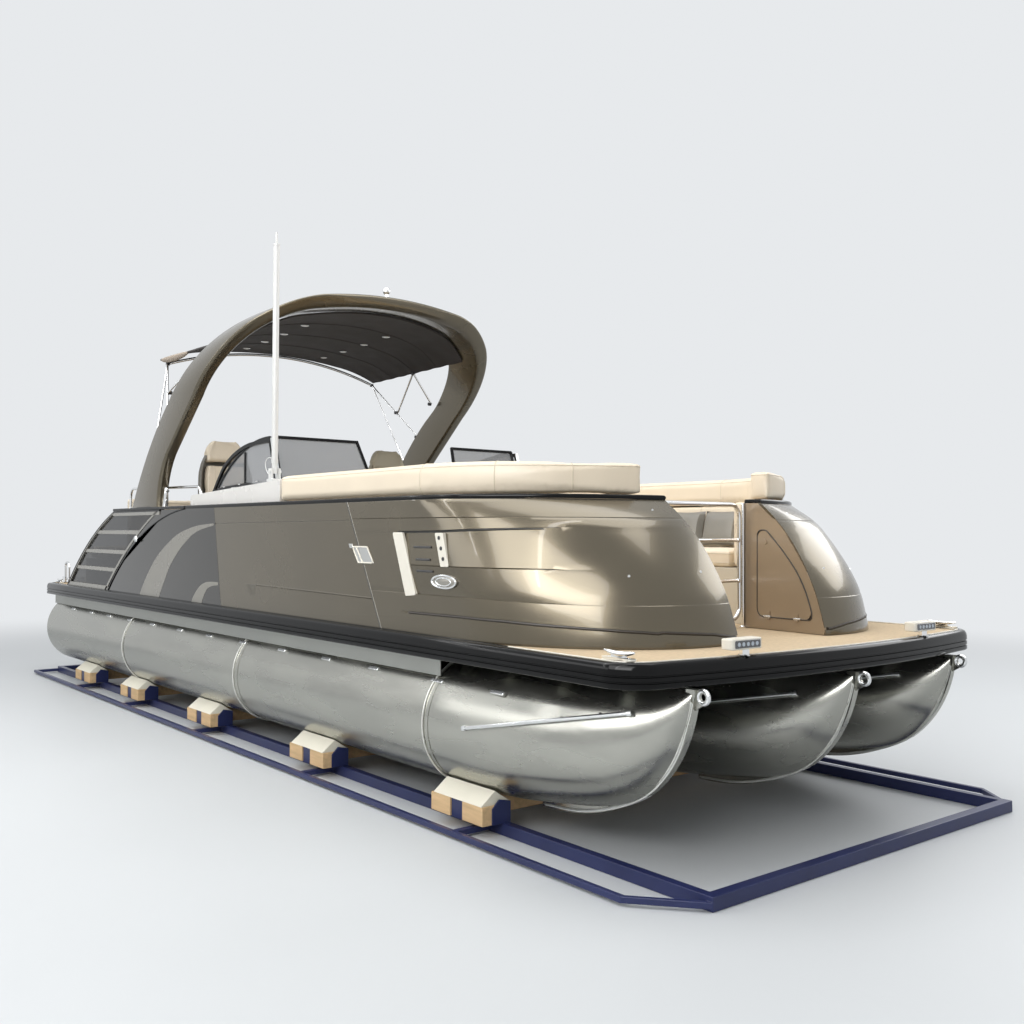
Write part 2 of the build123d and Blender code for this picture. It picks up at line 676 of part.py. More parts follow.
# Windscreens: a raked front pane on each console and a curved side pane outboard of it
FRAME_BAR = 22
RAKE_LOW = (436, 1943)
RAKE_HIGH = (305, 2335)
RAKE = Plane(origin=(RAKE_LOW[0], 0, RAKE_LOW[1]), x_dir=(0, 1, 0),
             z_dir=(RAKE_HIGH[1] - RAKE_LOW[1], 0, RAKE_LOW[0] - RAKE_HIGH[0]))
RAKE_LENGTH = hypot(RAKE_LOW[0] - RAKE_HIGH[0], RAKE_HIGH[1] - RAKE_LOW[1])
# front pane: low inboard, high inboard, outboard
FRONT_PANES = [(-330, -425, -1172), (470, 500, 1172)]


def front_pane(low_in, high_in, outboard):
    """One front pane's outline on the raked plane."""
    with BuildLine() as outline:
        Polyline((low_in, 0), (high_in, RAKE_LENGTH), (outboard, RAKE_LENGTH), (outboard, 0), close=True)
    make_face(outline.edges())


def side_pane():
    """The side pane's outline, low at its aft end."""
    with BuildLine() as outline:
        Line((RAKE_LOW[0], 1957), RAKE_HIGH)
        ThreePointArc(RAKE_HIGH, (-280, 2215), (-735, 1906))
        Line((-735, 1906), (RAKE_LOW[0], 1957))
    make_face(outline.edges())


with BuildPart() as windscreen_frames:
    for pane in FRONT_PANES:
        with BuildSketch(RAKE):
            front_pane(*pane)
            offset(amount=-FRAME_BAR, kind=Kind.INTERSECTION, mode=Mode.SUBTRACT)
        extrude(amount=FRAME_BAR)
    for y in (1198, -1176):
        with BuildSketch(upright(y)):
            side_pane()
            offset(amount=-FRAME_BAR, kind=Kind.INTERSECTION, mode=Mode.SUBTRACT)
            with Locations((-130, 2090)):
                Rectangle(FRAME_BAR, 290)
        extrude(amount=FRAME_BAR)
save(windscreen_frames, "windscreen_frames")

with BuildPart() as windscreen_glass:
    for pane in FRONT_PANES:
        with BuildSketch(RAKE.offset(8)):
            front_pane(*pane)
            offset(amount=-FRAME_BAR, kind=Kind.INTERSECTION, mode=Mode.REPLACE)
        extrude(amount=6)
    for y in (1190, -1184):
        with BuildSketch(upright(y)):
            side_pane()
            offset(amount=-FRAME_BAR, kind=Kind.INTERSECTION, mode=Mode.REPLACE)
            with Locations((-130, 2090)):
                Rectangle(FRAME_BAR, 290, mode=Mode.SUBTRACT)
        extrude(amount=6)
save(windscreen_glass, "windscreen_glass")

# Chairs on pedestals
CHAIRS = [("helm_chair", -1100, -850), ("companion_chair", -1060, 850)]
PAN_LOW = 1450
with BuildPart() as chair_pedestals:
    for name, x, y in CHAIRS:
        with Locations((x, y, DECK_TOP + 10)):
            Cylinder(190, 20)
        with Locations((x, y, (DECK_TOP + PAN_LOW) / 2)):
            Cylinder(60, PAN_LOW - DECK_TOP - 2)
save(chair_pedestals, "chair_pedestals")
for name, x, y in CHAIRS:
    with BuildPart() as chair:
        block((x - 250, y - 255, PAN_LOW), (x + 250, y + 255, PAN_LOW + 70))
        with BuildSketch(upright(y + 255)):
            with BuildLine():
                Polyline((x - 250, PAN_LOW), (x - 195, PAN_LOW), (x - 305, 2380), (x - 345, 2380), close=True)
            make_face()
        extrude(amount=510)
        for side in (-1, 1):
            arm = y + side * 275
            block((x - 250, arm - 20, PAN_LOW), (x - 190, arm + 20, 1750))
            block((x - 250, arm - 25, 1720), (x + 160, arm + 25, 1765))
    save(chair, name)
    with BuildPart() as cushions:
        block((x - 170, y - 240, PAN_LOW + 72), (x + 260, y + 240, PAN_LOW + 180))
        with BuildSketch(upright(y + 225)):
            with BuildLine():
                Polyline((x - 201, PAN_LOW + 190), (x - 95, PAN_LOW + 190), (x - 180, 2200), (x - 280, 2200),
                         close=True)
            make_face()
            with BuildLine():
                Polyline((x - 282, 2215), (x - 185, 2215), (x - 215, 2430), (x - 300, 2430), close=True)
            make_face()
        extrude(amount=450)
    save(cushions, name + "_cushions")

# Whip mast on its ratchet foot, on the helm's side coaming
MAST_X = 690
MAST_Y = -1335
MAST_PIVOT = 2040
with BuildPart() as mast_foot:
    block((MAST_X - 45, MAST_Y - 40, 1967), (MAST_X + 45, MAST_Y + 40, 1985))
    for side in (-1, 1):
        block((MAST_X - 25, MAST_Y + side * 31 - 6, 1985),
              (MAST_X + 25, MAST_Y + side * 31 + 6, MAST_PIVOT + 22))
        with Locations(Location((MAST_X, MAST_Y + side * 41, MAST_PIVOT), (90, 0, 0))):
            Cylinder(14, 8)
save(mast_foot, "mast_foot")
with BuildPart() as mast:
    with Locations((MAST_X, MAST_Y, MAST_PIVOT + 60)):
        Cylinder(20, 150)
    with Locations((MAST_X, MAST_Y, 2900)):
        Cylinder(23, 1600)
    with Locations((MAST_X, MAST_Y, 3745)):
        Cylinder(9, 100)
save(mast, "mast")

# Boarding ladder, stowed flat on the aft deck, and its hinge bracket with two hand-holds
LADDER_Y = -1080
LADDER_HALF = 180
LADDER_PIVOT = (-4690, 1062)
with BuildPart() as boarding_ladder:
    for side in (-1, 1):
        y = LADDER_Y + side * LADDER_HALF
        pipe(14, 0, (LADDER_PIVOT[0], y, LADDER_PIVOT[1]), (-3800, y, LADDER_PIVOT[1]))
    pipe(10, 0, (LADDER_PIVOT[0], LADDER_Y - LADDER_HALF, LADDER_PIVOT[1]),
         (LADDER_PIVOT[0], LADDER_Y + LADDER_HALF, LADDER_PIVOT[1]))
    for x in (-4440, -4140, -3840):
        block((x - 35, LADDER_Y - LADDER_HALF, LADDER_PIVOT[1] - 12),
              (x + 35, LADDER_Y + LADDER_HALF, LADDER_PIVOT[1] + 12))
save(boarding_ladder, "boarding_ladder")
with BuildPart() as ladder_bracket:
    for side in (-1, 1):
        y = LADDER_Y + side * (LADDER_HALF + 32)
        block((-4712, y - 6, RAIL_TOP - 60), (-4652, y + 6, RAIL_TOP + 62))
        block((-4652, y - 6, RAIL_TOP), (-4604, y + 6, RAIL_TOP + 62))
        pipe(12, 60, (-4620, y, RAIL_TOP + 2), (-4620, y, 1250), (-4480, y, 1250), (-4480, y, DECK_TOP))
save(ladder_bracket, "ladder_bracket")

# Cradle: a steel frame with thin outer rails, and timber supports under the tubes
BEAM_IN = 1262
BEAM_OUT = 1312
BEAM_TOP = 65
HALF_LENGTH = CRADLE_LENGTH / 2
RAIL_Y = 1550
STATIONS = (3110, 1400, -420, -2050, -3450)
with BuildPart() as cradle_frame:
    for side in (-1, 1):
        y = side * (BEAM_IN + BEAM_OUT) / 2
        block((-HALF_LENGTH, y - 25, 0), (HALF_LENGTH, y + 25, BEAM_TOP))
        block((-HALF_LENGTH, side * RAIL_Y - 15, 12), (4500, side * RAIL_Y + 15, 42))
        with BuildSketch(Plane.XY.offset(12)):
            with BuildLine():
                Polyline((4500, side * (RAIL_Y - 15)), (4500, side * (RAIL_Y + 15)),
                         (HALF_LENGTH, side * 1312), (HALF_LENGTH, side * 1280), close=True)
            make_face()
        extrude(amount=30)
        for x in STATIONS:
            low, high = sorted((side * 1300, side * RAIL_Y))
            block((x + 120, low, 12), (x + 160, high, 42))
    for x in (-HALF_LENGTH, HALF_LENGTH - 60):
        block((x, -RAIL_Y + 250, 0), (x + 60, RAIL_Y - 250, BEAM_TOP))
    block((-HALF_LENGTH, -RAIL_Y, 12), (-HALF_LENGTH + 40, RAIL_Y, 42))
save(cradle_frame, "cradle_frame")

BLOCK_AFT = 215
BLOCK_FORE = 255
BLOCK_TOP = 165
RIDGE = 240
PLANK_TOP = 165
with BuildPart() as cradle_blocks:
    for x in STATIONS:
        block((x - 75, -BEAM_IN, BEAM_TOP), (x + 75, BEAM_IN, PLANK_TOP))
        for side in (-1, 1):
            with BuildSketch(across(x - BLOCK_AFT)):
                with BuildLine():
                    Polyline((side * BEAM_IN, BEAM_TOP), (side * 1450, BEAM_TOP), (side * 1450, BLOCK_TOP),
                             (side * 1356, RIDGE), (side * BEAM_IN, BLOCK_TOP), close=True)
                make_face()
            extrude(amount=BLOCK_AFT + BLOCK_FORE)
save(cradle_blocks, "cradle_blocks")

# The mast's white lead, from a gland on the coaming up into the foot
LEAD_RADIUS = 3
with BuildPart() as mast_lead:
    pipe(LEAD_RADIUS, 22, (MAST_X - 105, MAST_Y + 20, 1964), (MAST_X - 105, MAST_Y + 20, 2060),
         (MAST_X - 60, MAST_Y + 45, 2080), (MAST_X - 29, MAST_Y + 41, 2008))
save(mast_lead, "mast_lead")
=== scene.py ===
from math import asin, atan2, cos, hypot, pi, radians, sin, sqrt

import bmesh
import bpy
from mathutils import Matrix, Vector


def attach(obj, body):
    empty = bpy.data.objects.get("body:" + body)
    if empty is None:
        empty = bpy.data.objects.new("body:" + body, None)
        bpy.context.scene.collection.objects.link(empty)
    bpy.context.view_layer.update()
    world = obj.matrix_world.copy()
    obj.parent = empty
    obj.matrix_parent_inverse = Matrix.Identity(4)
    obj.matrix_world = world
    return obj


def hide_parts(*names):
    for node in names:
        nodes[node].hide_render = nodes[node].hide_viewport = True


# The frame
# The boat stands on its cradle, +X to the bow, +Y to port, +Z up, in metres.
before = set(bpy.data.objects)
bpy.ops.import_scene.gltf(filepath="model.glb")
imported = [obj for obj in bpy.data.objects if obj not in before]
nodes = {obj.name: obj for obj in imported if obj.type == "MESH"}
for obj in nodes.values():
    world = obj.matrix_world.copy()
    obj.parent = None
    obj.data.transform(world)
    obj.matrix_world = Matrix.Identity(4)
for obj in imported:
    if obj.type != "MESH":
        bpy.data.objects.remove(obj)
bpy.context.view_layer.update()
scene = bpy.context.scene
scene.view_settings.view_transform = "Standard"

# Camera
# It stands off the starboard bow at eye height.
CAMERA_AT = Vector((7.7428, -4.7683, 1.6))
YAW, PITCH, ROLL = radians(38.727), radians(1.1376), radians(0.257)
ahead = Vector((-cos(YAW) * cos(PITCH), sin(YAW) * cos(PITCH), sin(PITCH)))
level = ahead.cross(Vector((0, 0, 1))).normalized()
above = level.cross(ahead)
right = level * cos(ROLL) + above * sin(ROLL)
up = above * cos(ROLL) - level * sin(ROLL)
lens = bpy.data.cameras.new("camera")
lens.lens = 36.883
lens.sensor_width = 36
lens.clip_end = 200
camera = bpy.data.objects.new("camera", lens)
scene.collection.objects.link(camera)
camera.matrix_world = Matrix((
    (right.x, up.x, -ahead.x, CAMERA_AT.x),
    (right.y, up.y, -ahead.y, CAMERA_AT.y),
    (right.z, up.z, -ahead.z, CAMERA_AT.z),
    (0, 0, 0, 1)))
scene.camera = camera

# Studio
# A pale world and floor, soft boxes on both sides and overhead, and slim strips like a hall's lamps.
# The pale backdrop is what the camera, reflections and clear glass see; a dimmer one lights the boat.
BACKDROP = (0.80, 0.82, 0.84, 1)


def shade(tree, kind, values=None, feeds=None, mode=None):
    """A shader node of one kind, with values for its sockets and sources linked into them."""
    made = tree.nodes.new("ShaderNode" + kind)
    if mode:
        made.operation = mode
    for socket, value in (values or {}).items():
        made.inputs[socket].default_value = value
    for socket, source in (feeds or {}).items():
        tree.links.new(source, made.inputs[socket])
    return made


def looked_at(tree):
    """A value that is 1 where the camera, a reflection or clear glass looks, and 0 for spread light."""
    ray = shade(tree, "LightPath").outputs
    either = shade(tree, "Math", feeds={0: ray["Is Camera Ray"], 1: ray["Is Glossy Ray"]}, mode="MAXIMUM")
    any_of = shade(tree, "Math", feeds={0: either.outputs[0], 1: ray["Is Transmission Ray"]}, mode="MAXIMUM")
    return any_of.outputs[0]


world = bpy.data.worlds.new("studio")
scene.world = world
world.use_nodes = True
tree = world.node_tree
tree.nodes.clear()
seen = shade(tree, "Background", {"Color": BACKDROP, "Strength": 1.0})
cast = shade(tree, "Background", {"Color": (0.95, 0.97, 1.0, 1), "Strength": 0.45})
mixed = shade(tree, "MixShader", feeds={0: looked_at(tree), 1: cast.outputs[0], 2: seen.outputs[0]})
shade(tree, "OutputWorld", feeds={"Surface": mixed.outputs[0]})


def lamp(name, place, target, size, power):
    """A rectangular soft light at a place, turned to a target."""
    data = bpy.data.lights.new(name, "AREA")
    data.shape = "RECTANGLE"
    data.size, data.size_y = size
    data.energy = power
    thing = bpy.data.objects.new(name, data)
    scene.collection.objects.link(thing)
    thing.location = place
    thing.rotation_euler = (Vector(target) - Vector(place)).to_track_quat("-Z", "Y").to_euler()
    return thing


# lamp: name, place, target, size, power
for row in (("overhead", (1.0, -1.0, 8.0), (0, 0, 0), (12, 5), 520),
            ("starboard", (6.5, -9.0, 5.0), (1.0, 0, 1.0), (7, 3), 305),
            ("port", (4.0, 8.5, 5.5), (0, 0, 1.0), (8, 3), 260),
            ("quarter", (-2.5, -9.0, 3.7), (2.5, -1.4, 1.5), (6, 2.2), 92)):
    lamp(*row)
# a wide soft box that lights nothing and is only mirrored, as a broad sheen on the bow pods
lamp("bow", (4.8, -5.95, 4.6), (3.5, -1.3, 1.35), (7, 4.5), 450).visible_diffuse = False
for place in (-3.4, 0.4, 4.2):
    lamp("strip", (place, -3.6, 5.2), (place, -1.0, 1.2), (0.16, 6.5), 40)


def surface(name, colour, rough=0.4, metal=0.0, coat=0.0, coat_rough=0.05, vary=0.05, scale=3.0,
            stretch=(1, 1, 1), rough_vary=0.05, bump=0.0, bump_scale=250.0, bump_stretch=(1, 1, 1),
            alpha=1.0, sheen=0.0, shine=0.5):
    """A material whose colour and roughness drift with noise, with a fine bump over it."""
    made = bpy.data.materials.new(name)
    made.use_nodes = True
    tree = made.node_tree
    shader = tree.nodes["Principled BSDF"]
    place = tree.nodes.new("ShaderNodeTexCoord")
    drift = shade(tree, "Mapping", {"Scale": stretch}, {"Vector": place.outputs["Object"]})
    noise = shade(tree, "TexNoise", {"Scale": scale, "Detail": 6}, {"Vector": drift.outputs["Vector"]})
    ramp = shade(tree, "ValToRGB", feeds={"Fac": noise.outputs["Fac"]})
    for end, at, way in zip(ramp.color_ramp.elements, (0.25, 0.75), (-1, 1)):
        end.position = at
        end.color = (*[min(1, c * (1 + way * vary)) for c in colour], 1)
    ends = {"From Min": 0.3, "From Max": 0.7, "To Min": max(0.0, rough - rough_vary),
            "To Max": min(1.0, rough + rough_vary)}
    spread = shade(tree, "MapRange", ends, {"Value": noise.outputs["Fac"]})
    tree.links.new(ramp.outputs["Color"], shader.inputs["Base Color"])
    tree.links.new(spread.outputs["Result"], shader.inputs["Roughness"])
    for socket, value in (("Metallic", metal), ("Coat Weight", coat), ("Coat Roughness", coat_rough),
                          ("Alpha", alpha), ("Sheen Weight", sheen), ("Specular IOR Level", shine)):
        shader.inputs[socket].default_value = value
    if bump:
        stretched = shade(tree, "Mapping", {"Scale": bump_stretch}, {"Vector": place.outputs["Object"]})
        fine = shade(tree, "TexNoise", {"Scale": bump_scale, "Detail": 3},
                     {"Vector": stretched.outputs["Vector"]})
        relief = shade(tree, "Bump", {"Strength": bump, "Distance": 0.002}, {"Height": fine.outputs["Fac"]})
        tree.links.new(relief.outputs["Normal"], shader.inputs["Normal"])
    return made


floor_paint = surface("floor paint", (0.62, 0.64, 0.65), rough=0.5, vary=0.02, scale=0.4)
# far from the boat the floor passes into the backdrop
tree = floor_paint.node_tree
away = shade(tree, "VectorMath", feeds={0: tree.nodes["Texture Coordinate"].outputs["Object"]}, mode="LENGTH")
far = shade(tree, "MapRange", {"From Min": 6.0, "From Max": 13.0}, {"Value": away.outputs["Value"]})
far.interpolation_type = "SMOOTHSTEP"
share = shade(tree, "Math", feeds={0: far.outputs["Result"], 1: looked_at(tree)}, mode="MULTIPLY")
backing = shade(tree, "Emission", {"Color": BACKDROP})
blend = shade(tree, "MixShader", feeds={0: share.outputs[0], 1: tree.nodes["Principled BSDF"].outputs[0],
                                        2: backing.outputs[0]})
tree.links.new(blend.outputs[0], tree.nodes["Material Output"].inputs["Surface"])
pale = bpy.data.meshes.new("floor")
pale.from_pydata([(-40, -40, 0), (40, -40, 0), (40, 40, 0), (-40, 40, 0)], [], [(0, 1, 2, 3)])
floor = bpy.data.objects.new("floor", pale)
floor.data.materials.append(floor_paint)
scene.collection.objects.link(floor)
floor.location.z = -0.001

# Cradle
# A welded steel frame painted dark blue, with a slim outer rail carried on short brackets.
# At five stations a plank lies across it, and timber blocks with padded gable caps hold the tubes.
STATIONS = (3.110, 1.400, -0.420, -2.050, -3.450)
BEAM_TOP, BLOCK_TOP, RIDGE = 0.065, 0.165, 0.240


def place_xyz(x, y, z):
    """A plate's outline lies flat, its thickness upwards."""
    return (x, y, z)


def place_yzx(y, z, x):
    """A plate's outline is seen from the bow, its thickness along the boat."""
    return (x, y, z)


def place_xzy(x, z, y):
    """A plate's outline is seen from the side, its thickness across the boat."""
    return (x, y, z)


def plate(outline, low, high, place=place_xyz):
    """A flat plate: an outline in two directions, given a thickness in the third."""
    count = len(outline)
    verts = [place(p[0], p[1], low) for p in outline] + [place(p[0], p[1], high) for p in outline]
    faces = [tuple(reversed(range(count))), tuple(range(count, 2 * count))]
    faces += [(i, (i + 1) % count, (i + 1) % count + count, i + count) for i in range(count)]
    return verts, faces


def corners(u0, u1, v0, v1):
    """A rectangle's four corners in order."""
    return [(u0, v0), (u1, v0), (u1, v1), (u0, v1)]


def brick(x0, x1, y0, y1, z0, z1):
    """A box between six faces."""
    return plate(corners(x0, x1, y0, y1), z0, z1)


def joined(shapes):
    """Several shapes' vertices and faces as one."""
    verts, faces = [], []
    for more, cells in shapes:
        base = len(verts)
        verts += more
        faces += [tuple(base + i for i in cell) for cell in cells]
    return verts, faces


def piece(name, shape, finish, body="boat", stands_for=(), crisp=35):
    """A mesh piece at the origin, smooth but for sharp edges, that rides on a body."""
    mesh = bpy.data.meshes.new(name)
    mesh.from_pydata(shape[0], [], shape[1])
    shaped = bmesh.new()
    shaped.from_mesh(mesh)
    bmesh.ops.remove_doubles(shaped, verts=shaped.verts, dist=0.00001)
    bmesh.ops.recalc_face_normals(shaped, faces=shaped.faces)
    shaped.to_mesh(mesh)
    shaped.free()
    mesh.shade_smooth()
    mesh.set_sharp_from_angle(angle=radians(crisp))
    thing = bpy.data.objects.new(name, mesh)
    scene.collection.objects.link(thing)
    mesh.materials.append(finish)
    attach(thing, body)
    if stands_for:
        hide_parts(*stands_for)
    return thing


def soften(thing, width, steps=2, angle=30):
    """Round a piece's edges."""
    bevel = thing.modifiers.new("rounded edges", "BEVEL")
    bevel.width = width
    bevel.segments = steps
    bevel.limit_method = "ANGLE"
    bevel.angle_limit = radians(angle)
    return thing


def paint(finish, *names, edge=0):
    """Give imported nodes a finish, and slightly rounded edges where asked."""
    for name in names:
        node = nodes[name]
        node.data.materials.clear()
        node.data.materials.append(finish)
        if edge:
            weld = node.modifiers.new("shared edges", "WELD")
            weld.merge_threshold = 0.00001
            soften(node, edge)


cradle_blue = surface("cradle paint", (0.022, 0.029, 0.098), rough=0.34, coat=0.1, vary=0.15, scale=4,
                      bump=0.1, bump_scale=90, shine=0.28)
timber = surface("sawn timber", (0.64, 0.44, 0.235), rough=0.75, vary=0.20, scale=3, stretch=(1.2, 9, 9),
                 bump=0.3, bump_scale=60, bump_stretch=(0.3, 3, 3))
block_pad = surface("cream block pad", (0.84, 0.80, 0.67), rough=0.6, vary=0.04, scale=6, bump=0.15,
                    bump_scale=300)
paint(cradle_blue, "cradle_frame", edge=0.003)
BLOCK_IN, BLOCK_OUT, RIDGE_Y = 1.262, 1.447, 1.356
# outlines seen from the bow: distance from the middle, height
GABLE = ((BLOCK_IN, BLOCK_TOP), (BLOCK_OUT, BLOCK_TOP), (BLOCK_OUT, BLOCK_TOP + 0.004), (RIDGE_Y, RIDGE),
         (BLOCK_IN, BLOCK_TOP + 0.012))
END_PLATE = ((BLOCK_IN, BEAM_TOP), (1.385, BEAM_TOP), (1.385, 0.150), (1.340, 0.195), (BLOCK_IN, 0.178))
boards, caps, posts = [], [], []
for x in STATIONS:
    boards.append(brick(x - 0.075, x + 0.075, -BLOCK_IN, BLOCK_IN, BEAM_TOP, BLOCK_TOP))
    for side in (-1, 1):
        for x0, x1 in ((-0.215, -0.035), (0.075, 0.255)):
            boards.append(brick(x + x0, x + x1, side * BLOCK_IN, side * BLOCK_OUT, BEAM_TOP, BLOCK_TOP))
        caps.append(plate([(side * y, z) for y, z in GABLE], x - 0.190, x + 0.245, place_yzx))
        posts.append(brick(x - 0.030, x + 0.070, side * 1.264, side * 1.440, BEAM_TOP, BLOCK_TOP - 0.002))
        posts.append(plate([(side * y, z) for y, z in END_PLATE], x + 0.254, x + 0.262, place_yzx))
soften(piece("cradle_timbers", joined(boards), timber, stands_for=("cradle_blocks",)), 0.003)
soften(piece("cradle_caps", joined(caps), block_pad), 0.006, 3)
soften(piece("cradle_plates", joined(posts), cradle_blue), 0.002)

# Tubes
# Three round brushed-aluminium floats with weld rings and pressed noses, sealed and lifting the deck.
# Spray rails on brackets, mooring-eye rings, keel strips and a row of small weld tabs are welded on.
TUBE_Y, TUBE_Z, TUBE_RADIUS = 1.128, 0.537, 0.368


def skin(rows, wrap=False, capped=False):
    """Vertices and faces of a grid of rows; wrap closes each row, capped closes the two ends."""
    wide = len(rows[0])
    verts = [tuple(p) for row in rows for p in row]
    faces = []
    for r in range(len(rows) - 1):
        for c in range(wide if wrap else wide - 1):
            d = (c + 1) % wide
            faces.append((r * wide + c, r * wide + d, (r + 1) * wide + d, (r + 1) * wide + c))
    if capped:
        faces.append(tuple(reversed(range(wide))))
        faces.append(tuple((len(rows) - 1) * wide + c for c in range(wide)))
    return verts, faces


def tube(points, radius, sides=12, closed=False):
    """A round tube along points, with its ends closed; radius may be one value or one each."""
    points = [Vector(p) for p in points]
    sizes = radius if isinstance(radius, (list, tuple)) else [radius] * len(points)
    count = len(points)
    rows = []
    side = None
    for i, p in enumerate(points):
        before = points[i - 1] if i or closed else p
        after = points[(i + 1) % count] if i < count - 1 or closed else p
        way = (after - before).normalized()
        if side is None:
            side = way.orthogonal().normalized()
        side = (side - way * side.dot(way)).normalized()
        other = way.cross(side)
        rows.append([p + (side * cos(2 * pi * k / sides) + other * sin(2 * pi * k / sides)) * sizes[i]
                     for k in range(sides)])
    if closed:
        rows.append(rows[0])
    return skin(rows, wrap=True, capped=not closed)


def rounded(points, radius, steps=6, closed=False):
    """Straight runs with their corners bent to a radius."""
    points = [Vector(p) if len(p) == 3 else Vector((p[0], p[1], 0)) for p in points]
    found = []
    count = len(points)
    for i, p in enumerate(points):
        if not closed and i in (0, count - 1):
            found.append(p)
            continue
        a, b = points[i - 1] - p, points[(i + 1) % count] - p
        half = a.angle(b) / 2
        cut = min(radius * cos(half) / max(0.01, sin(half)), a.length * 0.49, b.length * 0.49)
        start, end = p + a.normalized() * cut, p + b.normalized() * cut
        for k in range(steps + 1):
            t = k / steps
            found.append(start * (1 - t) ** 2 + p * 2 * t * (1 - t) + end * t * t)
    return found


def smooth_line(points, per):
    """A smooth line through points, with so many steps between each two."""
    points = [Vector(p) for p in points]
    found = []
    for i in range(len(points) - 1):
        b, c = points[i], points[i + 1]
        a = points[i - 1] if i else b * 2 - c
        d = points[i + 2] if i < len(points) - 2 else c * 2 - b
        for k in range(per):
            t = k / per
            found.append(0.5 * ((2 * b) + (c - a) * t + (2 * a - 5 * b + 4 * c - d) * t * t
                                + (3 * b - a - 3 * c + d) * t ** 3))
    return found + [points[-1]]


def oval(count, across, up=None, at=(0, 0)):
    """Evenly spaced points on a circle, or on an oval where a second half width is given."""
    up = across if up is None else up
    angles = [2 * pi * k / count for k in range(count)]
    return [(at[0] + across * cos(a), at[1] + up * sin(a)) for a in angles]


tube_metal = surface("brushed marine aluminium", (0.39, 0.388, 0.352), rough=0.26, metal=1.0, vary=0.10,
                     scale=2.2, stretch=(0.6, 3, 3), rough_vary=0.07, bump=0.05, bump_scale=3.5,
                     bump_stretch=(2.5, 1, 1))
mill_metal = surface("mill aluminium", (0.33, 0.335, 0.31), rough=0.40, metal=1.0, vary=0.06)
bright_metal = surface("bright anodised", (0.74, 0.75, 0.75), rough=0.20, metal=1.0, vary=0.04)
weld_metal = surface("weld bead", (0.72, 0.72, 0.68), rough=0.35, metal=0.7, vary=0.08, scale=40)
keel_paint = surface("pale keel strip", (0.66, 0.67, 0.64), rough=0.35, metal=0.25, vary=0.05)
# black sealant for the gaskets and sockets, also used for the painted shadow under the pods' recess heads
sealant_and_shadow_black = surface("black sealant and painted shadow", (0.03, 0.03, 0.028), rough=0.5, vary=0.2)
paint(tube_metal, "starboard_tube", "centre_tube", "port_tube")
paint(mill_metal, "side_aprons", "cross_members", edge=0.0015)
# spray rail: place, distance out from the tube's middle, height
SPRAY_RAIL = ((3.282, 0.376, 0.574), (3.535, 0.355, 0.624), (3.829, 0.305, 0.682), (4.049, 0.243, 0.724),
              (4.177, 0.201, 0.748), (4.283, 0.163, 0.768))
# keel line up the nose: place and height
KEEL = ((3.52, 0.168), (3.78, 0.188), (4.01, 0.246), (4.17, 0.312), (4.285, 0.384), (4.385, 0.482),
        (4.458, 0.592), (4.515, 0.74), (4.54, 0.83))
WELD_RINGS = (-2.080, 0.370, 2.880)
# tube: name, distance to port, how far its nose leads
for name, y, lead in (("starboard", -TUBE_Y, 0), ("centre", 0, 0.09), ("port", TUBE_Y, 0)):
    shapes = []
    for side in (-1, 1):
        rail = smooth_line([(x + lead, y + side * out, z) for x, out, z in SPRAY_RAIL], 5)
        shapes.append(tube(rail, 0.0105, 10))
        for k in (0, 6, 12, 18, 25):
            shapes.append(tube([rail[k], rail[k] + Vector((-0.012, -side * 0.030, 0.004))], 0.012, 8))
        for k, way in ((0, rail[1] - rail[0]), (25, rail[25] - rail[24])):
            cap = way.normalized() * 0.012
            shapes.append(tube([rail[k] - cap, rail[k] + cap], 0.0155, 10))
    piece(name + "_spray_rails", joined(shapes), bright_metal)
    eye = [(x, y, z) for x, z in oval(32, 0.029, at=(4.588 + lead, 0.862))]
    piece(name + "_eye_ring", tube(eye, 0.011, 10, closed=True), bright_metal)
    keel = smooth_line([(x + lead, 0, z) for x, z in KEEL], 5)
    rows = [[(p.x + 0.003, y + s, p.z - 0.003) for s in (-0.0205, -0.017, 0.017, 0.0205)]
            + [(p.x - 0.008, y + s, p.z + 0.008) for s in (0.0205, -0.0205)] for p in keel]
    piece(name + "_keel_strip", skin(rows, wrap=True, capped=True), keel_paint)
    beads = [tube([(p.x - 0.006, y + s * 0.024, p.z + 0.006) for p in keel], 0.0042, 6) for s in (-1, 1)]
    piece(name + "_keel_welds", joined(beads), weld_metal)
    ring = oval(96, TUBE_RADIUS + 0.004, at=(y, TUBE_Z))
    rings = [tube([(x, ring_y, z) for ring_y, z in ring], 0.0055, 6, closed=True) for x in WELD_RINGS]
    piece(name + "_weld_rings", joined(rings), weld_metal)
TAB_LIFT = radians(39.2)
TABS = (-3.862, -3.255, -2.706, -2.115, -1.525, -0.883, -0.268, 0.36, 1.000, 1.637, 2.228, 2.905, 3.450)
shapes = []
for side in (-1, 1):
    for x in TABS:
        outward = Vector((0, side * cos(TAB_LIFT), sin(TAB_LIFT)))
        upward = Vector((0, -side * sin(TAB_LIFT), cos(TAB_LIFT)))
        at = Vector((x, side * TUBE_Y, TUBE_Z)) + outward * TUBE_RADIUS
        shapes.append(plate(corners(-0.055, 0.055, -0.011, 0.011), -0.006, 0.012,
                            lambda u, v, out: tuple(at + Vector((u, 0, 0)) + upward * v + outward * out)))
soften(piece("weld_tabs", joined(shapes), bright_metal), 0.0025)

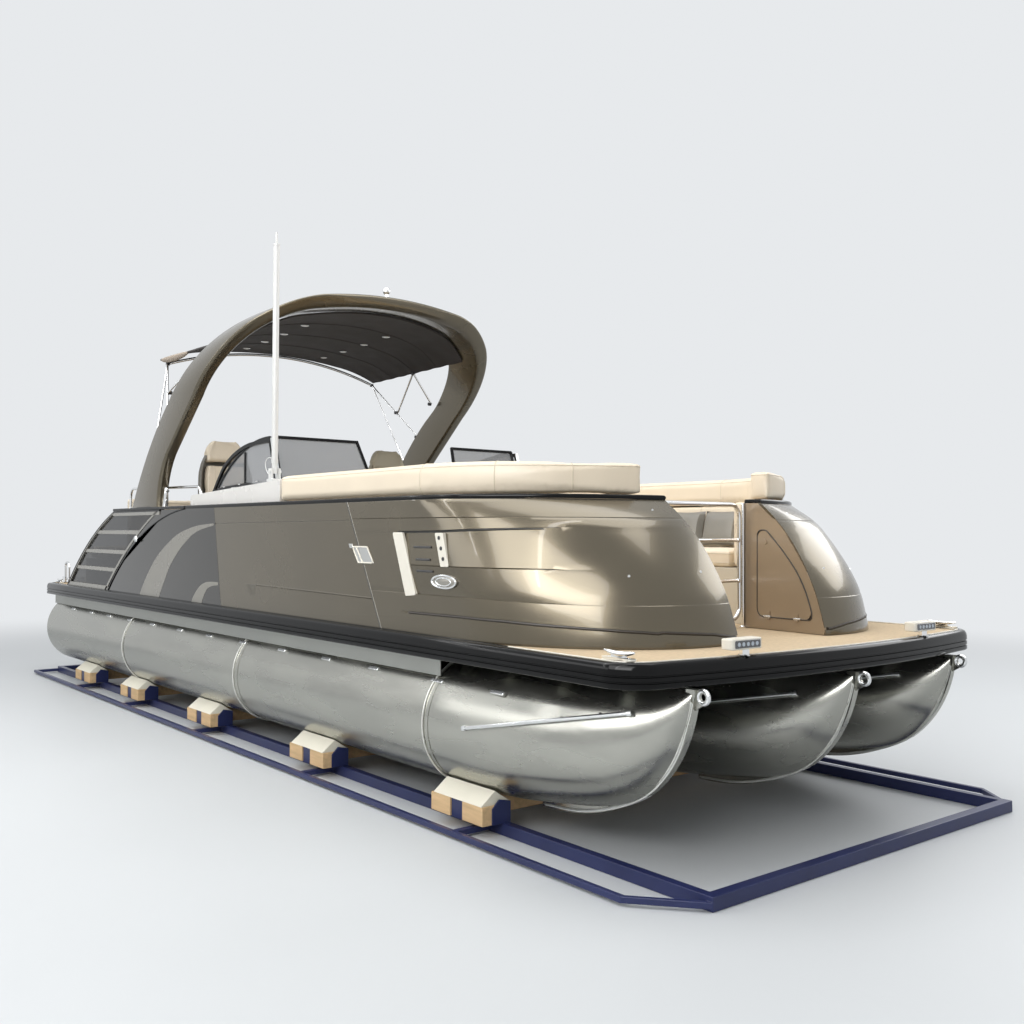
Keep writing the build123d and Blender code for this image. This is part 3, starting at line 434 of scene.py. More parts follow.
# Deck rail and floor
# The rail is a glossy black extrusion round the deck's edge, ribbed along its outer face.
# The floor inside it is covered with woven vinyl in a warm sand colour, cut back for a cream bead.
HALF_BEAM, STERN_X, BOW_SIDE_X, BOW_X = 1.500, -4.650, 4.480, 4.620
BOW_CORNER, STERN_CORNER = 0.200, 0.090
bow_radius = (HALF_BEAM ** 2 + (BOW_X - BOW_SIDE_X) ** 2) / (2 * (BOW_X - BOW_SIDE_X))
bow_centre = BOW_X - bow_radius
corner_y = HALF_BEAM - BOW_CORNER
corner_x = bow_centre + sqrt((bow_radius - BOW_CORNER) ** 2 - corner_y ** 2)
turn = asin(corner_y / (bow_radius - BOW_CORNER))
# the deck's edge to port, from the stern's middle to the bow's middle: place and outward direction
edge = [(STERN_X, 0.0, -1.0, 0.0)]
for k in range(7):
    a = pi - (pi / 2) * k / 6
    x, y = STERN_X + STERN_CORNER * (1 + cos(a)), HALF_BEAM - STERN_CORNER * (1 - sin(a))
    edge.append((x, y, cos(a), sin(a)))
for k in range(1, 12):
    edge.append((STERN_X + STERN_CORNER + (corner_x - STERN_X - STERN_CORNER) * k / 12, HALF_BEAM, 0.0, 1.0))
for k in range(11):
    a = pi / 2 - (pi / 2 - turn) * k / 10
    edge.append((corner_x + BOW_CORNER * cos(a), corner_y + BOW_CORNER * sin(a), cos(a), sin(a)))
for k in range(1, 21):
    a = turn * (1 - k / 20)
    edge.append((bow_centre + bow_radius * cos(a), bow_radius * sin(a), cos(a), sin(a)))
edge += [(x, -y, nx, -ny) for x, y, nx, ny in reversed(edge[1:-1])]
# the rail's section: distance in from the deck's edge, height
RAIL_SECTION = [(0.052, 0.905), (0.006, 0.905), (0.001, 0.909), (0.0, 0.915), (0.0, 0.930), (0.006, 0.933),
                (0.006, 0.937), (0.0, 0.940), (0.0, 0.958), (0.006, 0.961), (0.006, 0.965), (0.0, 0.968),
                (0.001, 0.990), (0.005, 1.006), (0.013, 1.018), (0.024, 1.0235), (0.046, 1.024),
                (0.052, 1.0205)]
black_gloss = surface("black gloss", (0.005, 0.005, 0.0052), rough=0.12, vary=0.25, rough_vary=0.04,
                      shine=0.18)
cream_trim = surface("cream moulding", (0.80, 0.76, 0.66), rough=0.35, vary=0.02)
deck_weave = surface("woven deck", (0.55, 0.425, 0.272), rough=0.85, vary=0.14, scale=45, bump=0.5,
                     bump_scale=320)
rows = [[(x - nx * d, y - ny * d, z) for d, z in RAIL_SECTION] for x, y, nx, ny in edge]
piece("ribbed_rail", skin(rows + rows[:1], wrap=True), black_gloss, stands_for=("deck_rail",), crisp=50)
bow_part = [e for e in edge if e[0] > 2.9]
bow_start = edge.index(bow_part[0])
rest = edge[bow_start + len(bow_part) - 1:] + edge[:bow_start + 1]
for name, finish, points in (("deck_bow_bead", cream_trim, bow_part), ("deck_side_bead", black_gloss, rest)):
    piece(name, tube([(x - nx * 0.056, y - ny * 0.056, 1.0225) for x, y, nx, ny in points], 0.0045, 8),
          finish)
paint(deck_weave, "deck_floor")
# the floor's faces that look down are painted dark, as painted shade under the deck
under_deck_shade = surface("painted shade under deck", (0.035, 0.035, 0.035), rough=0.6, vary=0.2)
deck = nodes["deck_floor"]
deck.data.materials.append(under_deck_shade)
for face in deck.data.polygons:
    if (deck.matrix_world.to_3x3() @ face.normal).z < -0.5:
        face.material_index = 1

# Transom pod
# A welded aluminium box behind the centre float, with a thick plate drilled for an outboard's bolts.
# Weld beads run round the box, and a clamp pad of dark plastic lines the plate's head.
dark_plastic = surface("dark plastic", (0.03, 0.03, 0.032), rough=0.45, vary=0.1)
paint(mill_metal, "transom_pod", edge=0.003)
shapes = [tube([(-4.700, y, z), (-4.210, y, z)], 0.006, 8) for y in (-0.300, 0.300) for z in (0.445, 0.895)]
piece("transom_welds", joined(shapes), mill_metal)
soften(piece("transom_pad", brick(-4.758, -4.692, -0.21, 0.21, 1.004, 1.018), dark_plastic), 0.004)

# Side panels
# Two polished pewter sheets close each side, joined at slanted seams; the aft one is nearly black.
# Pale swooshes are inlaid in them, and fine creases are pressed along their length.
SIDES = ((1, "port"), (-1, "starboard"))
SIDE_OUT, SIDE_IN, PANEL_FOOT, FENCE_HEAD = 1.440, 1.400, 1.024, 1.790
SEAM_RAKE, JOINT_RAKE = -0.5483, -0.1958


def arc_through(a, b, c):
    """The centre and radius of the circle through three points."""
    (ax, az), (bx, bz), (cx, cz) = a, b, c
    d = 2 * (ax * (bz - cz) + bx * (cz - az) + cx * (az - bz))
    aa, bb, cc = ax * ax + az * az, bx * bx + bz * bz, cx * cx + cz * cz
    x = (aa * (bz - cz) + bb * (cz - az) + cc * (az - bz)) / d
    z = (aa * (cx - bx) + bb * (ax - cx) + cc * (bx - ax)) / d
    return x, z, hypot(ax - x, az - z)


def on_arc(circle, z):
    """Where the aft side of a circle is at one height."""
    middle_x, middle_z, radius = circle
    return middle_x - sqrt(max(0.0, radius ** 2 - (z - middle_z) ** 2))


# the curve between the aft panel and the wing, through three points
aft_arc = arc_through((-2.680, PANEL_FOOT), (-1.810, 1.540), (-0.740, FENCE_HEAD))


def aft_edge(z):
    """Where the aft panel's curved edge is at one height."""
    return on_arc(aft_arc, z)


def joint_at(z):
    """Where the joint between the two panels is at one height."""
    return JOINT_RAKE * (z - PANEL_FOOT)


def seam_at(z):
    """Where the middle panel ends at the door seam, at one height."""
    return 2.340 + SEAM_RAKE * (z - PANEL_FOOT)


def side_span(side, near, far):
    """Two distances out on one side, the lower place first."""
    return sorted((side * near, side * far))


def panel(side, start, end, levels, columns):
    """A sheet between two edges given by height; levels are heights with depths at one column."""
    rows = []
    for i in range(columns + 1):
        u = i / columns
        middle = start(1.40) + (end(1.40) - start(1.40)) * u
        row = []
        for z, depth in levels(middle):
            row.append((start(z) + (end(z) - start(z)) * u, side * (SIDE_OUT - depth), z))
        foot, head = row[0], row[-1]
        row += [(head[0], side * SIDE_IN, head[2]), (foot[0], side * SIDE_IN, foot[2])]
        rows.append(row)
    return skin(rows, wrap=True, capped=True)


def middle_levels(x):
    """The middle panel's heights: a raised line low down and a thin crease near its head."""
    low = 1.215 - (x - 0.519) * 0.0095
    proud = 0.0035 if x > 0.45 else 0.0
    high = 1.668 + (x - 0.996) * 0.0055
    return [(PANEL_FOOT, 0), (1.12, 0), (low - 0.006, 0), (low - 0.002, -proud), (low + 0.002, -proud),
            (low + 0.006, 0), (1.34, 0), (1.46, 0), (1.58, 0), (high - 0.004, 0), (high, 0.003),
            (high + 0.004, 0), (1.74, 0), (1.786, 0), (FENCE_HEAD, 0.003)]


# the aft panel's heights with depths, plain but for the turned-in head
AFT_LEVELS = [(z, 0) for z in (PANEL_FOOT, 1.15, 1.28, 1.40, 1.52, 1.62, 1.70, 1.75, 1.775)]
AFT_LEVELS.append((FENCE_HEAD, 0.003))


def band(outer, inner, low, high):
    """A flat strip between two lines seen from the side."""
    rows = [[(a[0], low, a[1]), (a[0], high, a[1]), (b[0], high, b[1]), (b[0], low, b[1])]
            for a, b in zip(outer, inner)]
    return skin(rows, wrap=True, capped=True)


def side_line(points, per=6):
    """A smooth line through points seen from the side."""
    return [(p.x, p.y) for p in smooth_line([(x, z, 0) for x, z in points], per)]


pewter = surface("pewter gelcoat", (0.135, 0.115, 0.080), rough=0.25, metal=0.78, coat=0.4, coat_rough=0.02,
                 vary=0.05, scale=1.5, shine=0.4)
dark_pewter = surface("dark pewter gelcoat", (0.030, 0.027, 0.022), rough=0.10, metal=0.5, coat=0.4,
                      coat_rough=0.02, vary=0.06, scale=1.5, rough_vary=0.03, shine=0.35)
pale_inlay = surface("pale inlay", (0.26, 0.245, 0.21), rough=0.28, metal=0.5, coat=0.3, vary=0.04, shine=0.4)
bright_plate = surface("bright access plate", (0.62, 0.62, 0.60), rough=0.18, metal=1.0, vary=0.05)
# the swooshes' outer and inner lines: place and height
SWOOSH_OUT = ((-1.800, PANEL_FOOT), (-1.715, 1.115), (-1.542, 1.264), (-1.350, 1.392), (-1.117, 1.499),
              (-0.892, 1.577), (-0.633, 1.627), (-0.425, 1.651), (-0.156, 1.664))
SWOOSH_IN = ((-1.318, PANEL_FOOT), (-1.223, 1.135), (-1.065, 1.304), (-0.845, 1.452), (-0.631, 1.553),
             (-0.545, 1.583), (-0.440, 1.608), (-0.323, 1.627), (-0.150, 1.648))
SMALL_OUT = ((-0.585, PANEL_FOOT), (-0.534, 1.083), (-0.412, 1.161), (-0.272, 1.199), (-0.060, 1.207))
SMALL_IN = ((-0.375, PANEL_FOOT), (-0.349, 1.068), (-0.270, 1.143), (-0.173, 1.171), (-0.054, 1.183))
ACCESS = ((2.006, 1.510), (2.182, 1.510), (2.257, 1.413), (2.078, 1.413))
ACCESS_TAB = ((1.955, 1.528), (1.998, 1.528), (2.012, 1.500), (1.970, 1.500))
SEAM_HEIGHTS = (1.026, 1.41, 1.788)
for side, word in SIDES:
    piece(word + "_middle_panel", panel(side, joint_at, seam_at, middle_levels, 30), pewter,
          stands_for=(word + "_side_panels",), crisp=30)
    piece(word + "_aft_panel", panel(side, aft_edge, lambda z: joint_at(z) - 0.005, lambda x: AFT_LEVELS, 40),
          dark_pewter, crisp=30)
    low, high = side_span(side, SIDE_OUT - 0.002, SIDE_OUT + 0.0012)
    swooshes = [band(side_line(SWOOSH_OUT), side_line(SWOOSH_IN), low, high),
                band(side_line(SMALL_OUT), side_line(SMALL_IN), low, high)]
    piece(word + "_swooshes", joined(swooshes), pale_inlay)
    low, high = side_span(side, SIDE_OUT - 0.002, SIDE_OUT + 0.003)
    plates = joined([plate(outline, low, high, place_xzy) for outline in (ACCESS, ACCESS_TAB)])
    soften(piece(word + "_access_plate", plates, bright_plate), 0.0012)
    frame_line = rounded(ACCESS, 0.012, 3, closed=True)
    rim = [tube([(p.x, side * 1.4435, p.y) for p in frame_line], 0.0048, 8, closed=True),
           tube([(2.052, side * 1.4435, 1.506), (2.126, side * 1.4435, 1.417)], 0.0048, 8)]
    piece(word + "_access_rim", joined(rim), cream_trim)
    seam = [(seam_at(z) + 0.002, side * 1.4385, z) for z in SEAM_HEIGHTS]
    lip = [(x + 0.008, side * 1.4395, z) for x, y, z in seam]
    joint = [(joint_at(z) - 0.0025, side * 1.4392, z) for z in SEAM_HEIGHTS]
    piece(word + "_seam_gasket", tube(seam, 0.005, 8), sealant_and_shadow_black)
    piece(word + "_seam_edge", tube(lip, 0.0025, 8), pale_inlay)
    piece(word + "_joint_gasket", tube(joint, 0.0028, 6), sealant_and_shadow_black)

# Stern wings
# Each is a frame of bent aluminium, black along its outer edge, with smoked panes between bars.
# A polished strip and a black bead divide it from the aft panel, held by one bright ball stud.
WING_BARS, WING_HEAD = (1.226, 1.400, 1.589), 1.786
wing_aft = arc_through((-4.020, PANEL_FOOT), (-3.330, 1.470), (-2.540, WING_HEAD))
wing_fore = arc_through((-1.330, WING_HEAD), (-1.890, 1.556), (-2.745, PANEL_FOOT))


def shifted(line, by):
    """A line seen from the side, moved along the boat."""
    return [(x + by, z) for x, z in line]


def heights(low, high, count):
    """Evenly spaced heights, both ends among them."""
    return [low + (high - low) * k / count for k in range(count + 1)]


aft_line = [(on_arc(wing_aft, z), z) for z in heights(PANEL_FOOT, WING_HEAD, 36)]
fore_line = [(on_arc(wing_fore, z), z) for z in heights(PANEL_FOOT, WING_HEAD, 36)]
curve_line = [(aft_edge(z) - 0.004, z) for z in heights(1.027, 1.787, 40)]
wing_pewter = surface("wing pewter", (0.30, 0.285, 0.25), rough=0.28, metal=0.6, coat=0.4, coat_rough=0.04,
                      vary=0.05)
smoked = surface("smoked sheet", (0.020, 0.019, 0.019), rough=0.05, vary=0.05, rough_vary=0.02, alpha=0.80,
                 shine=0.35)
bar_metal = surface("pale anodised bar", (0.36, 0.345, 0.31), rough=0.28, metal=0.75, vary=0.05)
for side, word in SIDES:
    low, high = side_span(side, SIDE_IN, SIDE_OUT)
    pane = band(shifted(aft_line, 0.030), shifted(fore_line, -0.040), *side_span(side, 1.417, 1.423))
    piece(word + "_wing_pane", pane, smoked, stands_for=("wing_panes",), crisp=30)
    shapes = [band(aft_line, shifted(aft_line, 0.046), low, high),
              brick(-2.560, -1.330, low, high, 1.744, WING_HEAD)]
    piece(word + "_wing_frame", joined(shapes), wing_pewter, stands_for=("wing_frames",), crisp=30)
    edge_low, edge_high = side_span(side, 1.396, 1.4435)
    shapes = [band(shifted(aft_line, -0.001), shifted(aft_line, 0.011), edge_low, edge_high),
              brick(-2.545, -1.325, edge_low, edge_high, 1.774, 1.789),
              band(shifted(curve_line, -0.010), shifted(curve_line, 0.016), *side_span(side, 1.396, 1.447))]
    piece(word + "_wing_edge", joined(shapes), black_gloss, crisp=30)
    corner = heights(1.400, WING_HEAD, 16)
    filler = band([(on_arc(wing_fore, z) - 0.004, z) for z in corner],
                  [(aft_edge(z) + 0.006, z) for z in corner], *side_span(side, 1.410, 1.434))
    piece(word + "_wing_corner", filler, dark_pewter, crisp=30)
    shapes = [band(shifted(fore_line, -0.052), fore_line, low, high),
              brick(-3.965, -2.700, low, high, PANEL_FOOT, 1.066)]
    bar_low, bar_high = side_span(side, 1.408, 1.434)
    for z in WING_BARS:
        start, end = on_arc(wing_aft, z) + 0.03, on_arc(wing_fore, z) - 0.03
        shapes.append(brick(start, end, bar_low, bar_high, z - 0.019, z + 0.019))
    soften(piece(word + "_wing_bars", joined(shapes), bar_metal, crisp=30), 0.003)
    knob = [[(x, side * (SIDE_OUT + out), z) for x, z in oval(24, radius, at=(-1.838, 1.530))]
            for radius, out in ((0.012, 0.0), (0.013, 0.008), (0.024, 0.014), (0.030, 0.026), (0.024, 0.038),
                                (0.012, 0.044), (0.001, 0.046))]
    piece(word + "_wing_stud", skin(knob, wrap=True, capped=True), bright_metal)

# Bow pods
# Each pod is a glossy pewter gelcoat moulding on the bow corner, bolted to the deck and the
# fence, with a long tapering recess, creases and a dark bead along its foot.
# the pod's plan at five heights: tip, cheek, where its side begins to turn, the liner's corner and back
HEADS = (1.046, 1.290, 1.560, 1.690, 1.790)
TIPS = (4.185, 4.101, 3.936, 3.814, 3.694)
CHEEKS_X = (3.986, 3.917, 3.741, 3.626, 3.480)
CHEEKS_Y = (1.100, 1.092, 1.075, 1.055, 1.022)
TURNS = (3.200, 3.114, 2.946, 2.830, 2.698)
SKINS = (1.388, 1.372, 1.330, 1.298, 1.212)
BACKS = (1.320, 1.275, 1.150, 1.030, 0.870)
BACK_X, CORNER_X, JAMB_Y, SPLAY, DECK = 3.540, 3.250, 0.440, 56 / 645, 1.022


def span_of(places, at):
    """Which stretch of tabled places a value is in, and how far along it, held at both ends."""
    at = min(max(at, places[0]), places[-1])
    k = max(i for i in range(len(places) - 1) if places[i] <= at)
    return k, (at - places[k]) / (places[k + 1] - places[k])


def hermite(places, values, at):
    """A smooth value between tabled ones, held flat past both ends."""
    k, t = span_of(places, at)
    step = places[k + 1] - places[k]

    def slope(i):
        if i in (0, len(places) - 1):
            j = max(i, 1)
            return (values[j] - values[j - 1]) / (places[j] - places[j - 1])
        left = (values[i] - values[i - 1]) / (places[i] - places[i - 1])
        onward = (values[i + 1] - values[i]) / (places[i + 1] - places[i])
        return (left + onward) / 2

    a, b = values[k], values[k + 1]
    return ((2 * t ** 3 - 3 * t * t + 1) * a + (t ** 3 - 2 * t * t + t) * step * slope(k)
            + (3 * t * t - 2 * t ** 3) * b + (t ** 3 - t * t) * step * slope(k + 1))


def linear(places, values, at):
    """A straight-line value between tabled ones, held flat past both ends."""
    k, t = span_of(places, at)
    return values[k] + (values[k + 1] - values[k]) * t


def arc(start, end, heading, count):
    """Points and headings along an arc that leaves start in a heading and reaches end."""
    gap = Vector(end) - Vector(start)
    turn = atan2(gap.y, gap.x) - heading
    radius = gap.length / (2 * sin(turn))
    cx, cy = start[0] - radius * sin(heading), start[1] + radius * cos(heading)
    found = []
    for i in range(count + 1):
        angle = heading + 2 * turn * i / count
        found.append((cx + radius * sin(angle), cy - radius * cos(angle), angle))
    return found


def pod_end(z):
    """Where the pod's aft edge is, along the door seam, at one height."""
    return 1.924 - (FENCE_HEAD - z) * SEAM_RAKE


def pod_outline(z, side):
    """The pod's outer plan at one height: points from the seam to the tip, each with its normal."""
    tip_x, cheek_x, cheek_y, turn_x = [hermite(HEADS, v, z) for v in (TIPS, CHEEKS_X, CHEEKS_Y, TURNS)]
    strip_x = 2.556 + (1.597 - z) * 0.41
    found = [(linear((0, 1), (pod_end(z), strip_x), i / 14), SIDE_OUT, 0) for i in range(14)]
    found += [(linear((0, 1), (strip_x, turn_x), i / 16), SIDE_OUT, 0) for i in range(16)]
    bend = arc((turn_x, SIDE_OUT), (cheek_x, cheek_y), 0, 34)
    found += bend[:-1]
    found += arc((cheek_x, cheek_y), (tip_x, JAMB_Y - SPLAY * (tip_x - BACK_X)), bend[-1][2], 30)
    return [(x, side * y, (-sin(a), side * cos(a))) for x, y, a in found]


# crease heights along the side: place, foot bead, lower crease, middle crease, recess head, thin crease
CREASE_X = (1.9, 2.6, 3.15, 3.45, 3.76, 3.92, 4.05, 4.15, 4.20)
BEAD_Z = (1.139, 1.139, 1.145, 1.142, 1.127, 1.117, 1.104, 1.083, 1.060)
LOWER_Z = (1.250, 1.250, 1.250, 1.248, 1.241, 1.237, 1.236, 1.235, 1.235)
RECESS_Z = (1.606, 1.606, 1.610, 1.620, 1.627, 1.629, 1.630, 1.630, 1.630)
MIDDLE_Z, THIN_Z = 1.413, 1.683


def pod_place(i, side):
    """How far round the pod a column is, and the recess's depth there: none before the strip, then fading."""
    at = pod_outline(1.2, side)[i]
    x = at[0] if at[1] * side > 0.9 else 4.05 + (0.9 - at[1] * side) * 0.32
    fade = 0 if i < 12 else (i - 12) / 3 if i < 15 else max(0.0, 1 - max(0.0, x - 3.25) / 0.75)
    return x, fade * fade * (3 - 2 * fade)


def pod_skin(side):
    """The outer shell's grid with its recess, creases and bead channel, and a plain inner grid."""
    outer, inner = [], []
    for i in range(len(pod_outline(1.2, side))):
        x, fade = pod_place(i, side)
        bead, lower, head = [linear(CREASE_X, v, x) for v in (BEAD_Z, LOWER_Z, RECESS_Z)]
        channel = 0.009 if i > 9 else 0
        levels = [(DECK, 0), (1.040, 0), (bead - 0.020, 0), (bead - 0.0075, 0), (bead - 0.006, channel),
                  (bead + 0.006, channel), (bead + 0.0075, 0)]
        levels += [(bead + (lower - bead) * k / 4, 0) for k in (1, 2, 3)]
        levels += [(lower - 0.003, 0), (lower, 0.010 * fade + 0.002)]
        levels += [(lower + (MIDDLE_Z - lower) * k / 6, 0.010 * fade * (1 - k / 6)) for k in range(1, 6)]
        levels += [(MIDDLE_Z - 0.0035, 0), (MIDDLE_Z, 0.004 * min(1, fade * 2)), (MIDDLE_Z + 0.0035, 0)]
        levels += [(MIDDLE_Z + (head - MIDDLE_Z) * k / 7, 0.018 * fade * k / 7) for k in range(1, 7)]
        levels += [(head - 0.001, 0.018 * fade), (head + 0.0015, -0.0005)]
        levels += [(head + (THIN_Z - head) * k / 3, 0) for k in (1, 2)]
        levels += [(THIN_Z - 0.003, 0), (THIN_Z, 0.003), (THIN_Z + 0.003, 0)]
        levels += [(THIN_Z + (1.784 - THIN_Z) * k / 5, 0) for k in (1, 2, 3, 4)]
        levels += [(1.784, 0), (FENCE_HEAD, 0.003)]
        row_out, row_in = [], []
        for z, depth in levels:
            px, py, (nx, ny) = pod_outline(z, side)[i]
            row_out.append((px - nx * depth, py - ny * depth, z))
            row_in.append((px - nx * 0.024, py - ny * 0.024, z))
        outer.append(row_out)
        inner.append(row_in)
    return outer, inner


def pod_shell(side):
    """The shell as one closed skin."""
    outer, inner = pod_skin(side)
    rows = [out + list(reversed(back)) for out, back in zip(outer, inner)]
    return skin(rows, wrap=True, capped=True)


FACE_WAY = Vector((645, -56, 0)).normalized()


def on_face(side):
    """A function that places points on a pod's inner face: along it, height, distance out."""
    def place(u, z, out):
        x = BACK_X + FACE_WAY.x * u + FACE_WAY.y * out
        y = JAMB_Y + FACE_WAY.y * u - FACE_WAY.x * out
        return (x, side * y, z)
    return place


HATCH_MIDDLE = Vector((0.30, 1.30, 0))
HATCH_SLANT = ((0.200, 1.620, 0), (0.325, 1.500, 0), (0.433, 1.374, 0), (0.500, 1.262, 0), (0.543, 1.150, 0))


def hatch_line(grow):
    """The hatch's rounded outline on the inner face as 96 evenly spaced points."""
    turns = [(0.130, 1.101, 0), (0.130, 1.620, 0), *smooth_line(HATCH_SLANT, 5), (0.543, 1.101, 0)]
    line = rounded(turns, 0.055, 6, closed=True)
    line = [p + (p - HATCH_MIDDLE).normalized() * grow for p in line]
    lengths = [0.0]
    for a, b in zip(line, line[1:] + line[:1]):
        lengths.append(lengths[-1] + (b - a).length)
    found = []
    for k in range(96):
        at = lengths[-1] * k / 96
        j = max(i for i in range(len(line)) if lengths[i] <= at)
        a, b = line[j], line[(j + 1) % len(line)]
        found.append(a.lerp(b, (at - lengths[j]) / max(1e-9, lengths[j + 1] - lengths[j])))
    return found


def face_panel(side):
    """The inner face with the hatch's hole, as a thick panel."""
    place = on_face(side)
    hole = hatch_line(0.007)
    border = [(0.0, DECK)]
    for z in heights(DECK, FENCE_HEAD, 24):
        border.append(((hermite(HEADS, TIPS, z) - BACK_X) / FACE_WAY.x - 0.004, z))
    border.append((0.0, FENCE_HEAD))
    # each of the hole's points is carried outward to where its ray meets the border
    met = []
    for p in hole:
        way = (p - HATCH_MIDDLE).normalized()
        best = 9.0
        for a, b in zip(border, border[1:] + border[:1]):
            ax, az = a[0] - HATCH_MIDDLE.x, a[1] - HATCH_MIDDLE.y
            bx, bz = b[0] - a[0], b[1] - a[1]
            cross = way.x * bz - way.y * bx
            if abs(cross) > 1e-9:
                t = (ax * bz - az * bx) / cross
                s = (ax * way.y - az * way.x) / cross
                if t > 0 and -1e-6 <= s <= 1 + 1e-6:
                    best = min(best, t)
        met.append(HATCH_MIDDLE + way * best)
    # rows from the border's back over its eased front to the hole: line, how far drawn in, distance out
    rows = []
    for line, drawn_in, out in ((met, 0, -0.016), (met, 0, -0.003), (met, 0.003, 0.0), (hole, 0, 0.0),
                                (hole, 0, -0.016)):
        inward = [p - (p - HATCH_MIDDLE).normalized() * drawn_in for p in line]
        rows.append([place(p.x, p.y, out) for p in inward])
    rows.append(rows[0])
    return skin(rows, wrap=True)


# the pods' inner faces are the same metallic paint as their sides; their tan is a painted reflection, shared
# by the caps and hatches
reflection_tan_gel = surface("gelcoat with painted tan reflection", (0.32, 0.245, 0.165), rough=0.36, metal=0.35, coat=0.5, coat_rough=0.12,
                  vary=0.05)
bead_rubber = surface("bead rubber", (0.035, 0.028, 0.022), rough=0.5, vary=0.15)
liner = surface("ivory moulding", (0.66, 0.60, 0.49), rough=0.4, coat=0.2, vary=0.03)
# cream strips on the side: outlines as place and height
BROAD_STRIP = ((2.470, 1.600), (2.576, 1.600), (2.722, 1.243), (2.616, 1.232))
SLIM_STRIP = ((2.906, 1.598), (2.982, 1.598), (3.042, 1.412), (2.964, 1.410))
